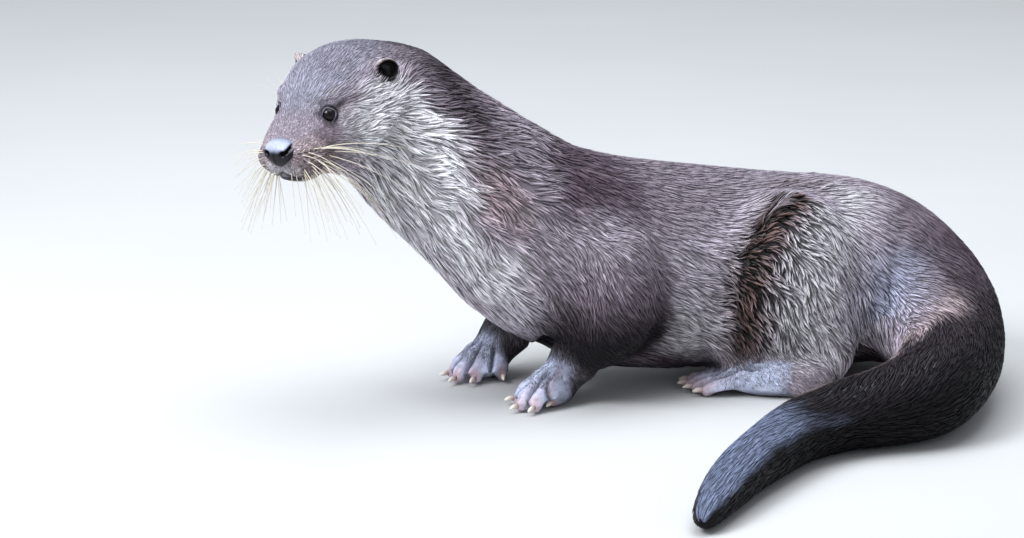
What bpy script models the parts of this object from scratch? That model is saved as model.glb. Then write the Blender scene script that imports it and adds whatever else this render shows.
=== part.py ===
"""River otter, life size, crouched on the floor with its neck raised and its tail curled to its left.

Metres, +Z up, floor at Z = 0. The trunk lies along X with the head towards -X. The animal's left
side faces -Y, and its head turns that way. The origin is on the floor under the middle of the box.

Each mass of flesh is a few lofts and ellipsoids, joined and smoothed as one surface. Thin cuts then
part it into the pieces that a person would name.
"""

import math

import bmesh
import bpy
from mathutils import Matrix, Vector

# Driving dimensions.
GAP = 0.0004  # the cut between two pieces of flesh
FLOOR_SINK = 0.0015  # how far soft undersides are pressed flat by the floor
CM = 0.01  # the head is laid out in centimetres from the middle between its ears

# Fineness of each mass: voxel size, smoothing passes, triangles left.
TORSO_MESH = (0.0045, 10, 1400)
HEAD_MESH = (0.0022, 7, 1060)
PAW_MESH = (0.0013, 5, 290)
FOOT_MESH = (0.0013, 4, 290)
RING_SIDES = 28
PATH_STEPS = 5  # rings between two stations of a loft

# Head: the point midway between the ears, the turn from straight ahead to its left, nod and tilt.
EAR_MIDPOINT = Vector((-0.2219, -0.0950, 0.2648))
HEAD_TURN = math.radians(56.6)
HEAD_NOD = math.radians(9.8)
HEAD_TILT = math.radians(3.6)

EYE = Vector((5.27, 2.12, -1.84))  # centre of the left eyeball, in head centimetres
EYE_RADIUS = 0.0060
ORBIT = Vector((5.76, 2.62, -1.69))  # centre of the hollow in front of the left eyeball
ORBIT_RADII = (0.85, 0.85, 0.80)
EAR = Vector((-0.1, 4.12, -0.1))
NOSE = Vector((9.0, 0.0, -3.57))
MOUTH_CORNER = 5.3  # forward from the ears to the corner of the mouth, in head centimetres
MOUTH_HEIGHT = -5.62

# Trunk: (x, y, z, half width, half height) along the spine, from the throat to the rump.
NECK = [
    (-0.1885, -0.068, 0.2195, 0.0510, 0.0590),
    (-0.1535, -0.070, 0.1885, 0.0560, 0.0650),
    (-0.1120, -0.073, 0.1575, 0.0610, 0.0700),
    (-0.0720, -0.069, 0.1250, 0.0670, 0.0790),
]
TRUNK = [
    (-0.0233, -0.050, 0.1017, 0.0710, 0.0840),
    (0.0246, -0.030, 0.0915, 0.0710, 0.0850),
    (0.0730, -0.012, 0.0851, 0.0715, 0.0820),
    (0.1213, -0.002, 0.0824, 0.0720, 0.0780),
    (0.1694, 0.000, 0.0785, 0.0710, 0.0785),
    (0.2090, -0.006, 0.0695, 0.0650, 0.0710),
    (0.2380, -0.030, 0.0545, 0.0570, 0.0560),
]
# Tail: (x, y, radius) along the floor, from the root to the tip.
TAIL = [
    (0.2465, -0.1060, 0.0440),
    (0.2240, -0.1850, 0.0390),
    (0.1930, -0.2100, 0.0342),
    (0.1659, -0.2190, 0.0308),
    (0.1395, -0.2320, 0.0285),
    (0.1125, -0.2610, 0.0260),
    (0.0907, -0.2999, 0.0238),
    (0.0690, -0.3430, 0.0215),
    (0.0535, -0.3830, 0.0180),
    (0.0423, -0.4140, 0.0130),
    (0.0372, -0.4260, 0.0065),
]
TAIL_FLATTENING = 0.95  # height over width

# Head: forward, top, bottom and half width, in head centimetres.
HEAD_SECTIONS = [
    (-4.5, 0.5, -7.5, 4.0),
    (-3.0, 1.2, -8.0, 4.5),
    (0.0, 1.9, -8.1, 4.85),
    (2.5, 1.55, -7.7, 4.5),
    (4.5, 0.65, -7.0, 3.75),
    (6.0, -0.55, -6.55, 3.15),
    (7.5, -1.7, -6.25, 2.75),
    (8.6, -2.5, -5.9, 2.25),
    (9.3, -3.1, -5.3, 1.55),
]
# Swellings of the head: centre and radii in head centimetres, on the left and again on the right.
HEAD_SWELLINGS = [
    ((7.75, 1.45, -4.45), (1.45, 1.55, 1.25)),  # whisker pad
    ((4.0, 1.95, -0.65), (1.6, 1.05, 0.85)),  # brow
    ((0.6, 2.3, -1.2), (2.6, 2.0, 2.2)),  # temple
    ((0.8, 3.0, -4.4), (3.4, 2.4, 2.9)),  # jaw muscle
    ((6.9, 0.4, -5.75), (1.8, 1.4, 0.75)),  # chin
]

# Forelegs: shoulder, elbow, mid forearm and wrist as (x, y, z, half width, half height).
FORELEGS = {
    "left": [
        (-0.022, -0.090, 0.118, 0.040, 0.046),
        (-0.012, -0.108, 0.078, 0.033, 0.037),
        (-0.022, -0.111, 0.056, 0.026, 0.028),
        (-0.036, -0.102, 0.043, 0.0205, 0.0215),
        (-0.049, -0.099, 0.027, 0.018, 0.0165),
    ],
    "right": [
        (-0.064, -0.026, 0.120, 0.040, 0.046),
        (-0.058, -0.010, 0.086, 0.033, 0.036),
        (-0.070, -0.014, 0.060, 0.026, 0.028),
        (-0.087, -0.018, 0.044, 0.0205, 0.0215),
        (-0.102, -0.022, 0.027, 0.018, 0.0165),
    ],
}
# Paws and feet: where the toes fan out from, then the tips of the toes from the inner one outwards.
PAWS = {
    "left": (
        (-0.0490, -0.0980),
        [(-0.0745, -0.0830), (-0.0975, -0.1120), (-0.0935, -0.1360), (-0.0795, -0.1420), (-0.0650, -0.1260)],
    ),
    "right": (
        (-0.1020, -0.0210),
        [(-0.0990, -0.0560), (-0.1250, -0.0640), (-0.1420, -0.0610), (-0.1490, -0.0440), (-0.1410, -0.0230)],
    ),
}
FEET = {
    "left": (
        (0.1340, -0.0860),
        [(0.0490, -0.0460), (0.0400, -0.0550), (0.0380, -0.0665), (0.0415, -0.0785), (0.0490, -0.0890)],
    ),
    "right": (
        (0.1340, 0.0740),
        [(0.0490, 0.0560), (0.0400, 0.0660), (0.0370, 0.0780), (0.0390, 0.0900), (0.0460, 0.1010)],
    ),
}
PAW_LIFT = 0.0205  # height of the roots of the toes
FOOT_LIFT = 0.0150
WRIST_FILL = 1.10  # how much a paw's own forearm is widened to meet the leg's end

SIDES = {"left": 1, "right": -1}  # the sign of the head's own Y on each side
HIND_LEGS = {"left": -1, "right": 1}
# Swellings of a hind leg: centre and radii, with the distance from the middle counted outwards.
THIGHS = {
    "left": ((0.125, 0.052, 0.079), (0.062, 0.044, 0.080)),
    "right": ((0.125, 0.052, 0.070), (0.060, 0.044, 0.066)),
}
KNEE = ((0.084, 0.062, 0.050), (0.026, 0.028, 0.042))
HOCK = ((0.150, 0.066, 0.030), (0.030, 0.024, 0.030))

# Cuts that part the pieces: places and radii in metres, except the top of the neck, in head centimetres.
BEYOND = 0.3  # half the size of a cutter that is larger than what it cuts
NECK_TOP = Vector((-2.2, 0, -3.6))
NECK_CUT = 0.018  # from the top of the neck down its axis to the cut
WRIST_CUT = 0.45  # share of the way from mid forearm to wrist
WRIST_REACH = (0.05, 0.03)  # length and half width of the seat for a paw
THIGH_CUT, THIGH_CUT_RADII = (0.129, 0.072, 0.075), (0.072, 0.052, 0.090)
SHOULDER_CUT_SHIFT, SHOULDER_CUT_RADII = 0.012, (0.052, 0.040, 0.082)
TAIL_CUTS = {
    "tail_tip": ((-0.30, -0.60, -0.05), (0.30, -0.322, 0.2)),
    "tail_middle": ((-0.30, -0.60, -0.05), (0.172, -0.17, 0.2)),
    "tail_base": ((0.08, -0.60, -0.05), (0.40, -0.098, 0.2)),
}

TOE_RADIUS = 0.0050
CLAW_LENGTH = 0.0085
CLAW_RADIUS = 0.0017

COLOURS = {
    "fur": ((0.115, 0.085, 0.072), 0.55),
    "pale fur": ((0.52, 0.49, 0.46), 0.60),
    "paw": ((0.20, 0.165, 0.155), 0.45),
    "nose": ((0.045, 0.040, 0.046), 0.30),
    "eye": ((0.012, 0.010, 0.010), 0.05),
    "claw": ((0.62, 0.50, 0.44), 0.35),
}


def clear_scene():
    """Removes every object that the file opened with."""
    for old in list(bpy.data.objects):
        bpy.data.objects.remove(old, do_unlink=True)


def material(name):
    """The Principled material of this name, made once."""
    found = bpy.data.materials.get(name)
    if found:
        return found
    colour, roughness = COLOURS[name]
    made = bpy.data.materials.new(name)
    made.use_nodes = True
    shader = made.node_tree.nodes["Principled BSDF"]
    shader.inputs["Base Color"].default_value = (*colour, 1.0)
    shader.inputs["Roughness"].default_value = roughness
    shader.inputs["Metallic"].default_value = 0.0
    return made


def object_from(bm, name):
    """A new scene object that holds this bmesh, with its faces turned outwards."""
    bmesh.ops.recalc_face_normals(bm, faces=bm.faces)
    mesh = bpy.data.meshes.new(name)
    bm.to_mesh(mesh)
    bm.free()
    made = bpy.data.objects.new(name, mesh)
    bpy.context.scene.collection.objects.link(made)
    return made


def settle(obj):
    """Replaces an object's mesh by what its modifiers make of it."""
    graph = bpy.context.evaluated_depsgraph_get()
    mesh = bpy.data.meshes.new_from_object(obj.evaluated_get(graph))
    obj.modifiers.clear()
    obj.data = mesh


def copy_of(obj, name):
    """A second object with its own copy of the mesh."""
    twin = bpy.data.objects.new(name, obj.data.copy())
    bpy.context.scene.collection.objects.link(twin)
    return twin


def catmull_rom(rows, steps):
    """Rows of numbers read from a smooth curve through the given rows."""
    ends = [tuple(2 * a - b for a, b in zip(rows[0], rows[1]))]
    ends += [tuple(row) for row in rows]
    ends += [tuple(2 * a - b for a, b in zip(rows[-1], rows[-2]))]
    made = []
    for i in range(1, len(ends) - 2):
        for step in range(steps):
            t = step / steps
            weights = (
                -0.5 * t + t * t - 0.5 * t**3,
                1 - 2.5 * t * t + 1.5 * t**3,
                0.5 * t + 2 * t * t - 1.5 * t**3,
                -0.5 * t * t + 0.5 * t**3,
            )
            quads = zip(*ends[i - 1 : i + 3])
            made.append(tuple(sum(w * v for w, v in zip(weights, quad)) for quad in quads))
    made.append(tuple(rows[-1]))
    return made


def loft(name, stations, steps=PATH_STEPS, sides=RING_SIDES):
    """A closed tube of elliptical rings through (x, y, z, half width, half height) stations."""
    rows = catmull_rom(stations, steps)
    bm = bmesh.new()
    rings = []
    for i, (x, y, z, half_width, half_height) in enumerate(rows):
        ahead = Vector(rows[min(i + 1, len(rows) - 1)][:3])
        behind = Vector(rows[max(i - 1, 0)][:3])
        along = (ahead - behind).normalized()
        side = along.cross(Vector((0, 0, 1))).normalized()
        up = side.cross(along)
        turn = Matrix((side, up, along)).transposed().to_4x4()
        place = Matrix.Translation((x, y, z)) @ turn @ Matrix.Diagonal((half_width, half_height, 1, 1))
        made = bmesh.ops.create_circle(bm, segments=sides, radius=1.0, matrix=place)
        rings.append({edge for vert in made["verts"] for edge in vert.link_edges})
    for first, second in zip(rings, rings[1:]):
        bmesh.ops.bridge_loops(bm, edges=list(first | second))
    for ring in (rings[0], rings[-1]):
        bmesh.ops.holes_fill(bm, edges=list(ring), sides=0)
    return object_from(bm, name)


def ellipsoid(name, centre, radii, frame=None, segments=32, rings=18):
    """An ellipsoid with its axes along the frame, or along the world's."""
    bm = bmesh.new()
    place = (frame or Matrix.Identity(4)) @ Matrix.Translation(centre) @ Matrix.Diagonal((*radii, 1))
    bmesh.ops.create_uvsphere(bm, u_segments=segments, v_segments=rings, radius=1.0, matrix=place)
    return object_from(bm, name)


def box(name, low, high, frame=None):
    """A box between two corners, in the frame or in the world."""
    bm = bmesh.new()
    low, high = Vector(low), Vector(high)
    size = Matrix.Diagonal((*(high - low), 1))
    place = (frame or Matrix.Identity(4)) @ Matrix.Translation((low + high) / 2) @ size
    bmesh.ops.create_cube(bm, size=1.0, matrix=place)
    return object_from(bm, name)


def join(name, pieces):
    """One object that holds the meshes of all the pieces, still separate shells."""
    bm = bmesh.new()
    for piece in pieces:
        bm.from_mesh(piece.data)
        bpy.data.objects.remove(piece, do_unlink=True)
    return object_from(bm, name)


def flesh(name, pieces, fineness):
    """Overlapping pieces made one smooth closed surface with about the given triangle count."""
    voxel, passes, triangles = fineness
    body = join(name, pieces)
    remesh = body.modifiers.new("One skin", "REMESH")
    remesh.mode = "VOXEL"
    remesh.voxel_size = voxel
    smooth = body.modifiers.new("Soften", "SMOOTH")
    smooth.factor = 0.5
    smooth.iterations = passes
    settle(body)
    faces = sum(len(face.vertices) - 2 for face in body.data.polygons)
    decimate = body.modifiers.new("Lighten", "DECIMATE")
    decimate.ratio = triangles / faces
    settle(body)
    return body


def boolean(body, other, operation):
    """Applies an exact Boolean to the body."""
    cut = body.modifiers.new(operation, "BOOLEAN")
    cut.solver = "EXACT"
    cut.operation = operation
    cut.object = other
    settle(body)


def keep_largest(body):
    """Drops crumbs that a cut left loose."""
    bm = bmesh.new()
    bm.from_mesh(body.data)
    left = set(bm.verts)
    parts = []
    while left:
        part, front = set(), [left.pop()]
        while front:
            vert = front.pop()
            part.add(vert)
            fresh = {edge.other_vert(vert) for edge in vert.link_edges} & left
            left -= fresh
            front += fresh
        parts.append(part)
    parts.sort(key=len)
    for part in parts[:-1]:
        bmesh.ops.delete(bm, geom=list(part), context="VERTS")
    bm.to_mesh(body.data)
    bm.free()


def part_off(body, name, region):
    """Splits what lies inside a region from the body. The region is a function of its growth."""
    piece = copy_of(body, name)
    inner, outer = region(0.0), region(GAP)
    boolean(piece, inner, "INTERSECT")
    boolean(body, outer, "DIFFERENCE")
    for helper in (inner, outer):
        bpy.data.objects.remove(helper, do_unlink=True)
    keep_largest(piece)
    keep_largest(body)
    return piece


def box_region(low, high, frame=None, scale=1.0):
    """A region for part_off: a box that grows by the same amount on every side."""

    def region(growth):
        more = Vector((growth / scale,) * 3)
        return box("Region", Vector(low) - more, Vector(high) + more, frame)

    return region


def ellipsoid_region(centre, radii, frame=None):
    """A region for part_off: an ellipsoid that grows by the same amount on every side."""

    def region(growth):
        return ellipsoid("Region", centre, [r + growth for r in radii], frame, 16, 10)

    return region


def trim_at_floor(body):
    """Cuts off what sinks below the floor and closes the flat that is left."""
    bm = bmesh.new()
    bm.from_mesh(body.data)
    everything = bm.verts[:] + bm.edges[:] + bm.faces[:]
    bmesh.ops.bisect_plane(bm, geom=everything, plane_co=(0, 0, 0), plane_no=(0, 0, 1), clear_inner=True)
    rim = [edge for edge in bm.edges if edge.is_boundary]
    bmesh.ops.holes_fill(bm, edges=rim, sides=0)
    bmesh.ops.recalc_face_normals(bm, faces=bm.faces)
    bm.to_mesh(body.data)
    bm.free()


def dress(body, name, finish):
    """Names a finished node and gives it its material."""
    body.name = name
    body.data.name = name
    body.data.materials.clear()
    body.data.materials.append(material(finish))
    body.data.shade_smooth()
    body.data.set_sharp_from_angle(angle=math.radians(50))
    return body


def head_frame():
    """Head centimetres to world metres: X is forward, Y to the animal's left, Z up."""
    turn = Matrix.Rotation(math.pi + HEAD_TURN, 4, "Z")
    nod = Matrix.Rotation(HEAD_NOD, 4, "Y")
    tilt = Matrix.Rotation(HEAD_TILT, 4, "X")
    return Matrix.Translation(EAR_MIDPOINT) @ turn @ tilt @ nod @ Matrix.Scale(CM, 4)


def mirrored(point, side):
    """The point on the left (side 1) or on the right (side -1) of the head."""
    return Vector((point[0], point[1] * side, point[2]))


def neck_stations(frame):
    """The neck with one more ring inside the head, so that both masses share it."""
    inside = frame @ Vector((0.5, 0.0, -3.4))
    return [(*inside, 0.048, 0.050)] + NECK


def tail_stations():
    """The tail's rings, pressed a little into the floor."""
    rows = []
    for x, y, radius in TAIL:
        half_height = radius * TAIL_FLATTENING
        rows.append((x, y, half_height - FLOOR_SINK, radius, half_height))
    return rows


def hind_mass(name, shape, side):
    """One swelling of a hind leg, on the left (side -1) or on the right (side 1)."""
    (x, y, z), radii = shape
    return ellipsoid(name, (x, y * side, z), radii)


def make_torso(frame):
    """Neck, trunk, tail and the upper legs as one mass."""
    pieces = [loft("Spine", neck_stations(frame) + TRUNK + tail_stations())]
    pieces += [loft("Foreleg", stations) for stations in FORELEGS.values()]
    for label, side in HIND_LEGS.items():
        pieces += [hind_mass("Leg", shape, side) for shape in (THIGHS[label], KNEE, HOCK)]
    return flesh("trunk", pieces, TORSO_MESH)


def make_head(frame):
    """The head with the top of the neck, as one mass."""
    bm = bmesh.new()
    rings = []
    rows = catmull_rom(HEAD_SECTIONS, PATH_STEPS)
    for forward, top, bottom, half_width in rows:
        centre = Vector((forward, 0, (top + bottom) / 2))
        turn = Matrix(((0, 0, 1), (1, 0, 0), (0, 1, 0))).to_4x4()
        size = Matrix.Diagonal((half_width, (top - bottom) / 2, 1, 1))
        place = frame @ Matrix.Translation(centre) @ turn @ size
        made = bmesh.ops.create_circle(bm, segments=RING_SIDES, radius=1.0, matrix=place)
        rings.append({edge for vert in made["verts"] for edge in vert.link_edges})
    for first, second in zip(rings, rings[1:]):
        bmesh.ops.bridge_loops(bm, edges=list(first | second))
    for ring in (rings[0], rings[-1]):
        bmesh.ops.holes_fill(bm, edges=list(ring), sides=0)
    pieces = [object_from(bm, "Skull")]
    for side in (1, -1):
        for centre, radii in HEAD_SWELLINGS:
            pieces.append(ellipsoid("Swelling", mirrored(centre, side), radii, frame))
    pieces.append(loft("Throat", neck_stations(frame)))
    return flesh("head", pieces, HEAD_MESH)


def toe_points(start, tips, lift):
    """Each toe's root, knuckle and tip on the floor, and its direction."""
    made = []
    base = Vector((*start, 0))
    for x, y in tips:
        reach = Vector((x, y, 0)) - base
        along = reach.normalized()
        tip = base + reach - along * (CLAW_LENGTH * 0.6 + TOE_RADIUS)
        root = base + reach * 0.36 + Vector((0, 0, lift))
        knuckle = base + reach * 0.66 + Vector((0, 0, lift * 0.72))
        made.append((root, knuckle, tip + Vector((0, 0, TOE_RADIUS - FLOOR_SINK * 0.4)), along))
    return made


def web(a, b):
    """A thin lens of skin from one toe to the next."""
    across = (b - a).normalized()
    along = across.cross(Vector((0, 0, 1))).normalized()
    turn = Matrix((across, along, Vector((0, 0, 1)))).transposed().to_4x4()
    place = Matrix.Translation((a + b) / 2 - Vector((0, 0, 0.001))) @ turn
    return ellipsoid("Web", (0, 0, 0), ((b - a).length / 2, 0.010, 0.0024), place, 16, 10)


def make_foot(name, toes, heel_mass, web_places, fineness):
    """A webbed foot: the heel's mass, five bent toes and the skin between them."""
    pieces = list(heel_mass)
    for root, knuckle, tip, _ in toes:
        last_joint = knuckle.lerp(tip, 0.62) + Vector((0, 0, 0.0012))
        rows = [
            (*root, TOE_RADIUS * 1.15, TOE_RADIUS * 1.1),
            (*knuckle, TOE_RADIUS * 1.05, TOE_RADIUS),
            (*last_joint, TOE_RADIUS * 0.98, TOE_RADIUS * 0.95),
            (*tip, TOE_RADIUS * 0.92, TOE_RADIUS * 0.90),
        ]
        pieces.append(loft("Toe", rows, steps=4, sides=16))
        pad = (TOE_RADIUS, TOE_RADIUS, TOE_RADIUS * 0.92)
        pieces.append(ellipsoid("Pad", tip, pad, None, 16, 10))
    for (_, knuckle_a, tip_a, _), (_, knuckle_b, tip_b, _) in zip(toes, toes[1:]):
        for share in web_places:
            pieces.append(web(knuckle_a.lerp(tip_a, share), knuckle_b.lerp(tip_b, share)))
    return flesh(name, pieces, fineness)


def towards(start, tips):
    """A frame on the floor at the start of the toes, with X away from the middle toe."""
    middle = Vector((*tips[2], 0)) - Vector((*start, 0))
    turn = Matrix.Rotation(math.atan2(middle.y, middle.x) + math.pi, 4, "Z")
    return Matrix.Translation((*start, 0)) @ turn


def make_front_paw(side):
    """A front paw with the end of its forearm."""
    start, tips = PAWS[side]
    toes = toe_points(start, tips, PAW_LIFT)
    palm = towards(start, tips) @ Vector((-0.015, 0, 0.0150))
    forearm = [(x, y, z, a * WRIST_FILL, b * WRIST_FILL) for x, y, z, a, b in FORELEGS[side][2:]]
    mass = [
        ellipsoid("Palm", (-0.015, 0, 0.0150), (0.0210, 0.0175, 0.0160), towards(start, tips)),
        loft("Forearm", forearm + [(*palm, 0.0130, 0.0110)]),
    ]
    return make_foot("paw", toes, mass, (0.0, 0.3), PAW_MESH), toes


def make_hind_foot(side):
    """A hind foot with its heel, lying flat under the thigh."""
    start, tips = FEET[side]
    frame = towards(start, tips)
    toes = toe_points(start, tips, FOOT_LIFT)
    mass = [
        ellipsoid("Heel", (0.004, 0, 0.014), (0.020, 0.0165, 0.0155), frame),
        ellipsoid("Sole", (-0.026, 0, 0.0125), (0.040, 0.0175, 0.0140), frame),
    ]
    return make_foot("foot", toes, mass, (0.0, 0.25, 0.45), FOOT_MESH), toes


def make_claw(name, toe, foot):
    """A small hooked claw on the end of a toe, cut to fit the flesh behind it."""
    _, knuckle, tip, along = toe
    start = tip + along * TOE_RADIUS * 0.30 + Vector((0, 0, TOE_RADIUS * 0.30))
    rows = []
    for share, radius, drop in ((0.0, 1.0, 0.0), (0.55, 0.88, 0.10), (1.0, 0.22, 0.42)):
        point = start + along * CLAW_LENGTH * share - Vector((0, 0, CLAW_LENGTH * drop * 0.75))
        rows.append((*point, CLAW_RADIUS * radius, CLAW_RADIUS * radius * 1.25))
    claw = loft(name, rows, steps=1, sides=6)
    boolean(claw, foot, "DIFFERENCE")
    keep_largest(claw)
    claw.data.transform(Matrix.Translation(along * GAP))
    return claw


def make_ear(name, frame, side):
    """A small rounded cup that opens forwards and outwards."""
    centre = mirrored(EAR, side)
    out = mirrored(Vector((0.60, 0.76, 0.12)), side).normalized()
    up = (Vector((-0.25, 0, 1.0)) - out * Vector((-0.25, 0, 1.0)).dot(out)).normalized()
    across = up.cross(out)
    turn = Matrix((across, up, out)).transposed().to_4x4()
    rows = [(-0.9, 0.74, 0.70), (-0.35, 0.95, 0.88), (0.08, 1.02, 0.96), (0.32, 0.97, 0.93)]
    rows += [(0.38, 0.88, 0.84), (0.24, 0.76, 0.73), (-0.02, 0.64, 0.61), (-0.28, 0.40, 0.38)]
    bm = bmesh.new()
    rings = []
    for depth, half_width, half_height in rows:
        size = Matrix.Diagonal((half_width, half_height, 1, 1))
        lean = Matrix.Translation((0, 0.12 * depth, depth))
        place = frame @ Matrix.Translation(centre) @ turn @ lean @ size
        made = bmesh.ops.create_circle(bm, segments=12, radius=1.0, matrix=place)
        rings.append({edge for vert in made["verts"] for edge in vert.link_edges})
    for first, second in zip(rings, rings[1:]):
        bmesh.ops.bridge_loops(bm, edges=list(first | second))
    for ring in (rings[0], rings[-1]):
        bmesh.ops.holes_fill(bm, edges=list(ring), sides=0)
    return object_from(bm, name)


def make_nose(frame):
    """The bare nose pad with its two nostrils."""
    pad = ellipsoid("nose", NOSE, (0.85, 1.28, 1.02), frame, 14, 9)
    for side in (1, -1):
        place = NOSE + Vector((0.55, 0.78 * side, 0.05))
        nostril = ellipsoid("Nostril", place, (0.42, 0.26, 0.34), frame, 8, 6)
        boolean(pad, nostril, "DIFFERENCE")
        bpy.data.objects.remove(nostril, do_unlink=True)
    return pad


def sit_in(body, insert, growth):
    """Cuts a seat for an insert out of the body, a little larger than the insert."""
    cutter = copy_of(insert, "Seat")
    push = cutter.modifiers.new("Clearance", "DISPLACE")
    push.strength = growth
    push.mid_level = 0.0
    settle(cutter)
    boolean(body, cutter, "DIFFERENCE")
    bpy.data.objects.remove(cutter, do_unlink=True)


def square_to(axis, point):
    """A frame at a point with X along the axis and Y level."""
    side = axis.cross(Vector((0, 0, 1))).normalized()
    turn = Matrix((axis, side, axis.cross(side))).transposed().to_4x4()
    return Matrix.Translation(point) @ turn


def cut_apart(front, back, plane, reach):
    """Parts two overlapping masses at a plane across X: the front one keeps what lies before it."""
    behind = box("Behind", (0, -BEYOND, -BEYOND), (2 * BEYOND, BEYOND, BEYOND), plane)
    ahead = box("Ahead", (-reach[0], -reach[1], -reach[1]), (GAP, reach[1], reach[1]), plane)
    for body, cutter in ((front, behind), (back, ahead)):
        boolean(body, cutter, "DIFFERENCE")
        bpy.data.objects.remove(cutter, do_unlink=True)
        keep_largest(body)


def part_head_and_torso(head, torso, frame):
    """Parts the head from the torso in a plane across the top of the neck."""
    crown = frame @ NECK_TOP
    axis = (Vector(NECK[1][:3]) - crown).normalized()
    cut_apart(head, torso, square_to(axis, crown + axis * NECK_CUT), (2 * BEYOND, BEYOND))


def make_face(head, frame):
    """Eyes, ears, nose and lower jaw, each in its own seat in the head."""
    for label, sign in SIDES.items():
        eye = ellipsoid("eye_" + label, (0, 0, 0), (EYE_RADIUS,) * 3, None, 14, 9)
        eye.data.transform(Matrix.Translation(frame @ mirrored(EYE, sign)))
        orbit = ellipsoid("Orbit", mirrored(ORBIT, sign), ORBIT_RADII, frame, 12, 8)
        boolean(head, orbit, "DIFFERENCE")
        bpy.data.objects.remove(orbit, do_unlink=True)
        sit_in(head, eye, GAP)
        dress(eye, "eye_" + label, "eye")
        ear = make_ear("ear_" + label, frame, sign)
        sit_in(head, ear, GAP)
        dress(ear, "ear_" + label, "fur")
    nose = make_nose(frame)
    sit_in(head, nose, GAP)
    dress(nose, "nose", "nose")
    keep_largest(head)
    jaw_region = box_region((MOUTH_CORNER, -6, -9), (12, 6, MOUTH_HEIGHT), frame, CM)
    dress(part_off(head, "lower_jaw", jaw_region), "lower_jaw", "pale fur")
    dress(head, "head", "pale fur")


def make_feet(torso):
    """Paws, hind feet and claws. Each foot is cut out of the leg above it."""
    feet = {}
    for label in SIDES:
        feet["forepaw_" + label] = make_front_paw(label)
        feet["hind_foot_" + label] = make_hind_foot(label)
    for foot, _ in feet.values():
        trim_at_floor(foot)
    for label in SIDES:
        above, below = Vector(FORELEGS[label][3][:3]), Vector(FORELEGS[label][4][:3])
        wrist = square_to((above - below).normalized(), above.lerp(below, WRIST_CUT))
        cut_apart(feet["forepaw_" + label][0], torso, wrist, WRIST_REACH)
        sit_in(torso, feet["hind_foot_" + label][0], GAP)
    for label, (foot, toes) in feet.items():
        for number, toe in enumerate(toes, 1):
            claw = make_claw(f"claw_{label}_{number}", toe, foot)
            trim_at_floor(claw)
            dress(claw, claw.name, "claw")
        dress(foot, label, "paw")


def part_legs(torso):
    """Parts the four upper legs from the trunk."""
    for label, y_side in HIND_LEGS.items():
        region = ellipsoid_region((THIGH_CUT[0], THIGH_CUT[1] * y_side, THIGH_CUT[2]), THIGH_CUT_RADII)
        dress(part_off(torso, "hind_leg", region), "hind_leg_" + label, "fur")
    for label, stations in FORELEGS.items():
        shoulder, elbow = Vector(stations[0][:3]), Vector(stations[2][:3])
        outward = Vector((0, -SHOULDER_CUT_SHIFT * SIDES[label], -0.004))
        region = ellipsoid_region(shoulder.lerp(elbow, 0.55) + outward, SHOULDER_CUT_RADII)
        dress(part_off(torso, "foreleg", region), "foreleg_" + label, "fur")


def part_tail_and_neck(torso):
    """Parts the tail into its three lengths and the neck from the trunk."""
    for name, (low, high) in TAIL_CUTS.items():
        dress(part_off(torso, name, box_region(low, high)), name, "fur")
    base_of_neck = Vector(NECK[3][:3]).lerp(Vector(NECK[2][:3]), 0.35)
    axis = (Vector(NECK[3][:3]) - Vector(NECK[1][:3])).normalized()
    region = box_region((-0.4, -BEYOND, -BEYOND), (0, BEYOND, BEYOND), square_to(axis, base_of_neck))
    dress(part_off(torso, "neck", region), "neck", "fur")


def build():
    """Makes every node of the otter."""
    clear_scene()
    frame = head_frame()
    torso = make_torso(frame)
    head = make_head(frame)
    trim_at_floor(torso)
    part_head_and_torso(head, torso, frame)
    make_face(head, frame)
    make_feet(torso)
    part_legs(torso)
    part_tail_and_neck(torso)
    dress(torso, "trunk", "fur")


def centre_on_floor():
    """Moves the whole otter so that the middle of its box is over the origin."""
    corners = [vert.co for obj in bpy.context.scene.objects for vert in obj.data.vertices]
    low = [min(corner[i] for corner in corners) for i in range(2)]
    high = [max(corner[i] for corner in corners) for i in range(2)]
    shift = Matrix.Translation((-(low[0] + high[0]) / 2, -(low[1] + high[1]) / 2, 0))
    for obj in bpy.context.scene.objects:
        obj.data.transform(shift)


build()
centre_on_floor()
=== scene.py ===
"""River otter, life size: a still museum model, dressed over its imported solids.

One skin takes the place of every piece of flesh and lies inside it by the depth of the coat. Joined
tufts of damp fur grow from the skin and follow the lie of the coat from the nose to the tail and the
feet. Eyes, nose pad, claws and whiskers are pieces of their own. Metres, +Z up, as the frame has it.
"""
import heapq
import logging
import math
from dataclasses import dataclass, field
from enum import Enum
from typing import Callable

import bmesh
import bpy
import numpy as np
from mathutils import Matrix, Vector
from mathutils.bvhtree import BVHTree


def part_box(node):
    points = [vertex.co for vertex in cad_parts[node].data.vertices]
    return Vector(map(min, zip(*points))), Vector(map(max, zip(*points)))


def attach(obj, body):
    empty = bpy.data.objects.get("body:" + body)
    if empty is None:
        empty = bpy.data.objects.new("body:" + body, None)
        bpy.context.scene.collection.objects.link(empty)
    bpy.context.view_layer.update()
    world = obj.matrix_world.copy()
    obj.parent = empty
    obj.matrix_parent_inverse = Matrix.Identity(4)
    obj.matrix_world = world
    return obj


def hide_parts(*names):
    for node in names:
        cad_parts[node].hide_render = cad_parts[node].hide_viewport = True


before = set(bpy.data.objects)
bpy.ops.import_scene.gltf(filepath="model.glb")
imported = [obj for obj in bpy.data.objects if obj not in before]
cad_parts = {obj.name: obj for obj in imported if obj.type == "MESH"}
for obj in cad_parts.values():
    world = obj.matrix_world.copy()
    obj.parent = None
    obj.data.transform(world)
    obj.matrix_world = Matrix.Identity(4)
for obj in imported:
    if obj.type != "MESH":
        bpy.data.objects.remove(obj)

LOG = logging.getLogger("otter")
BODY = "root"
CM = 0.01
MM = 0.001
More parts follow.
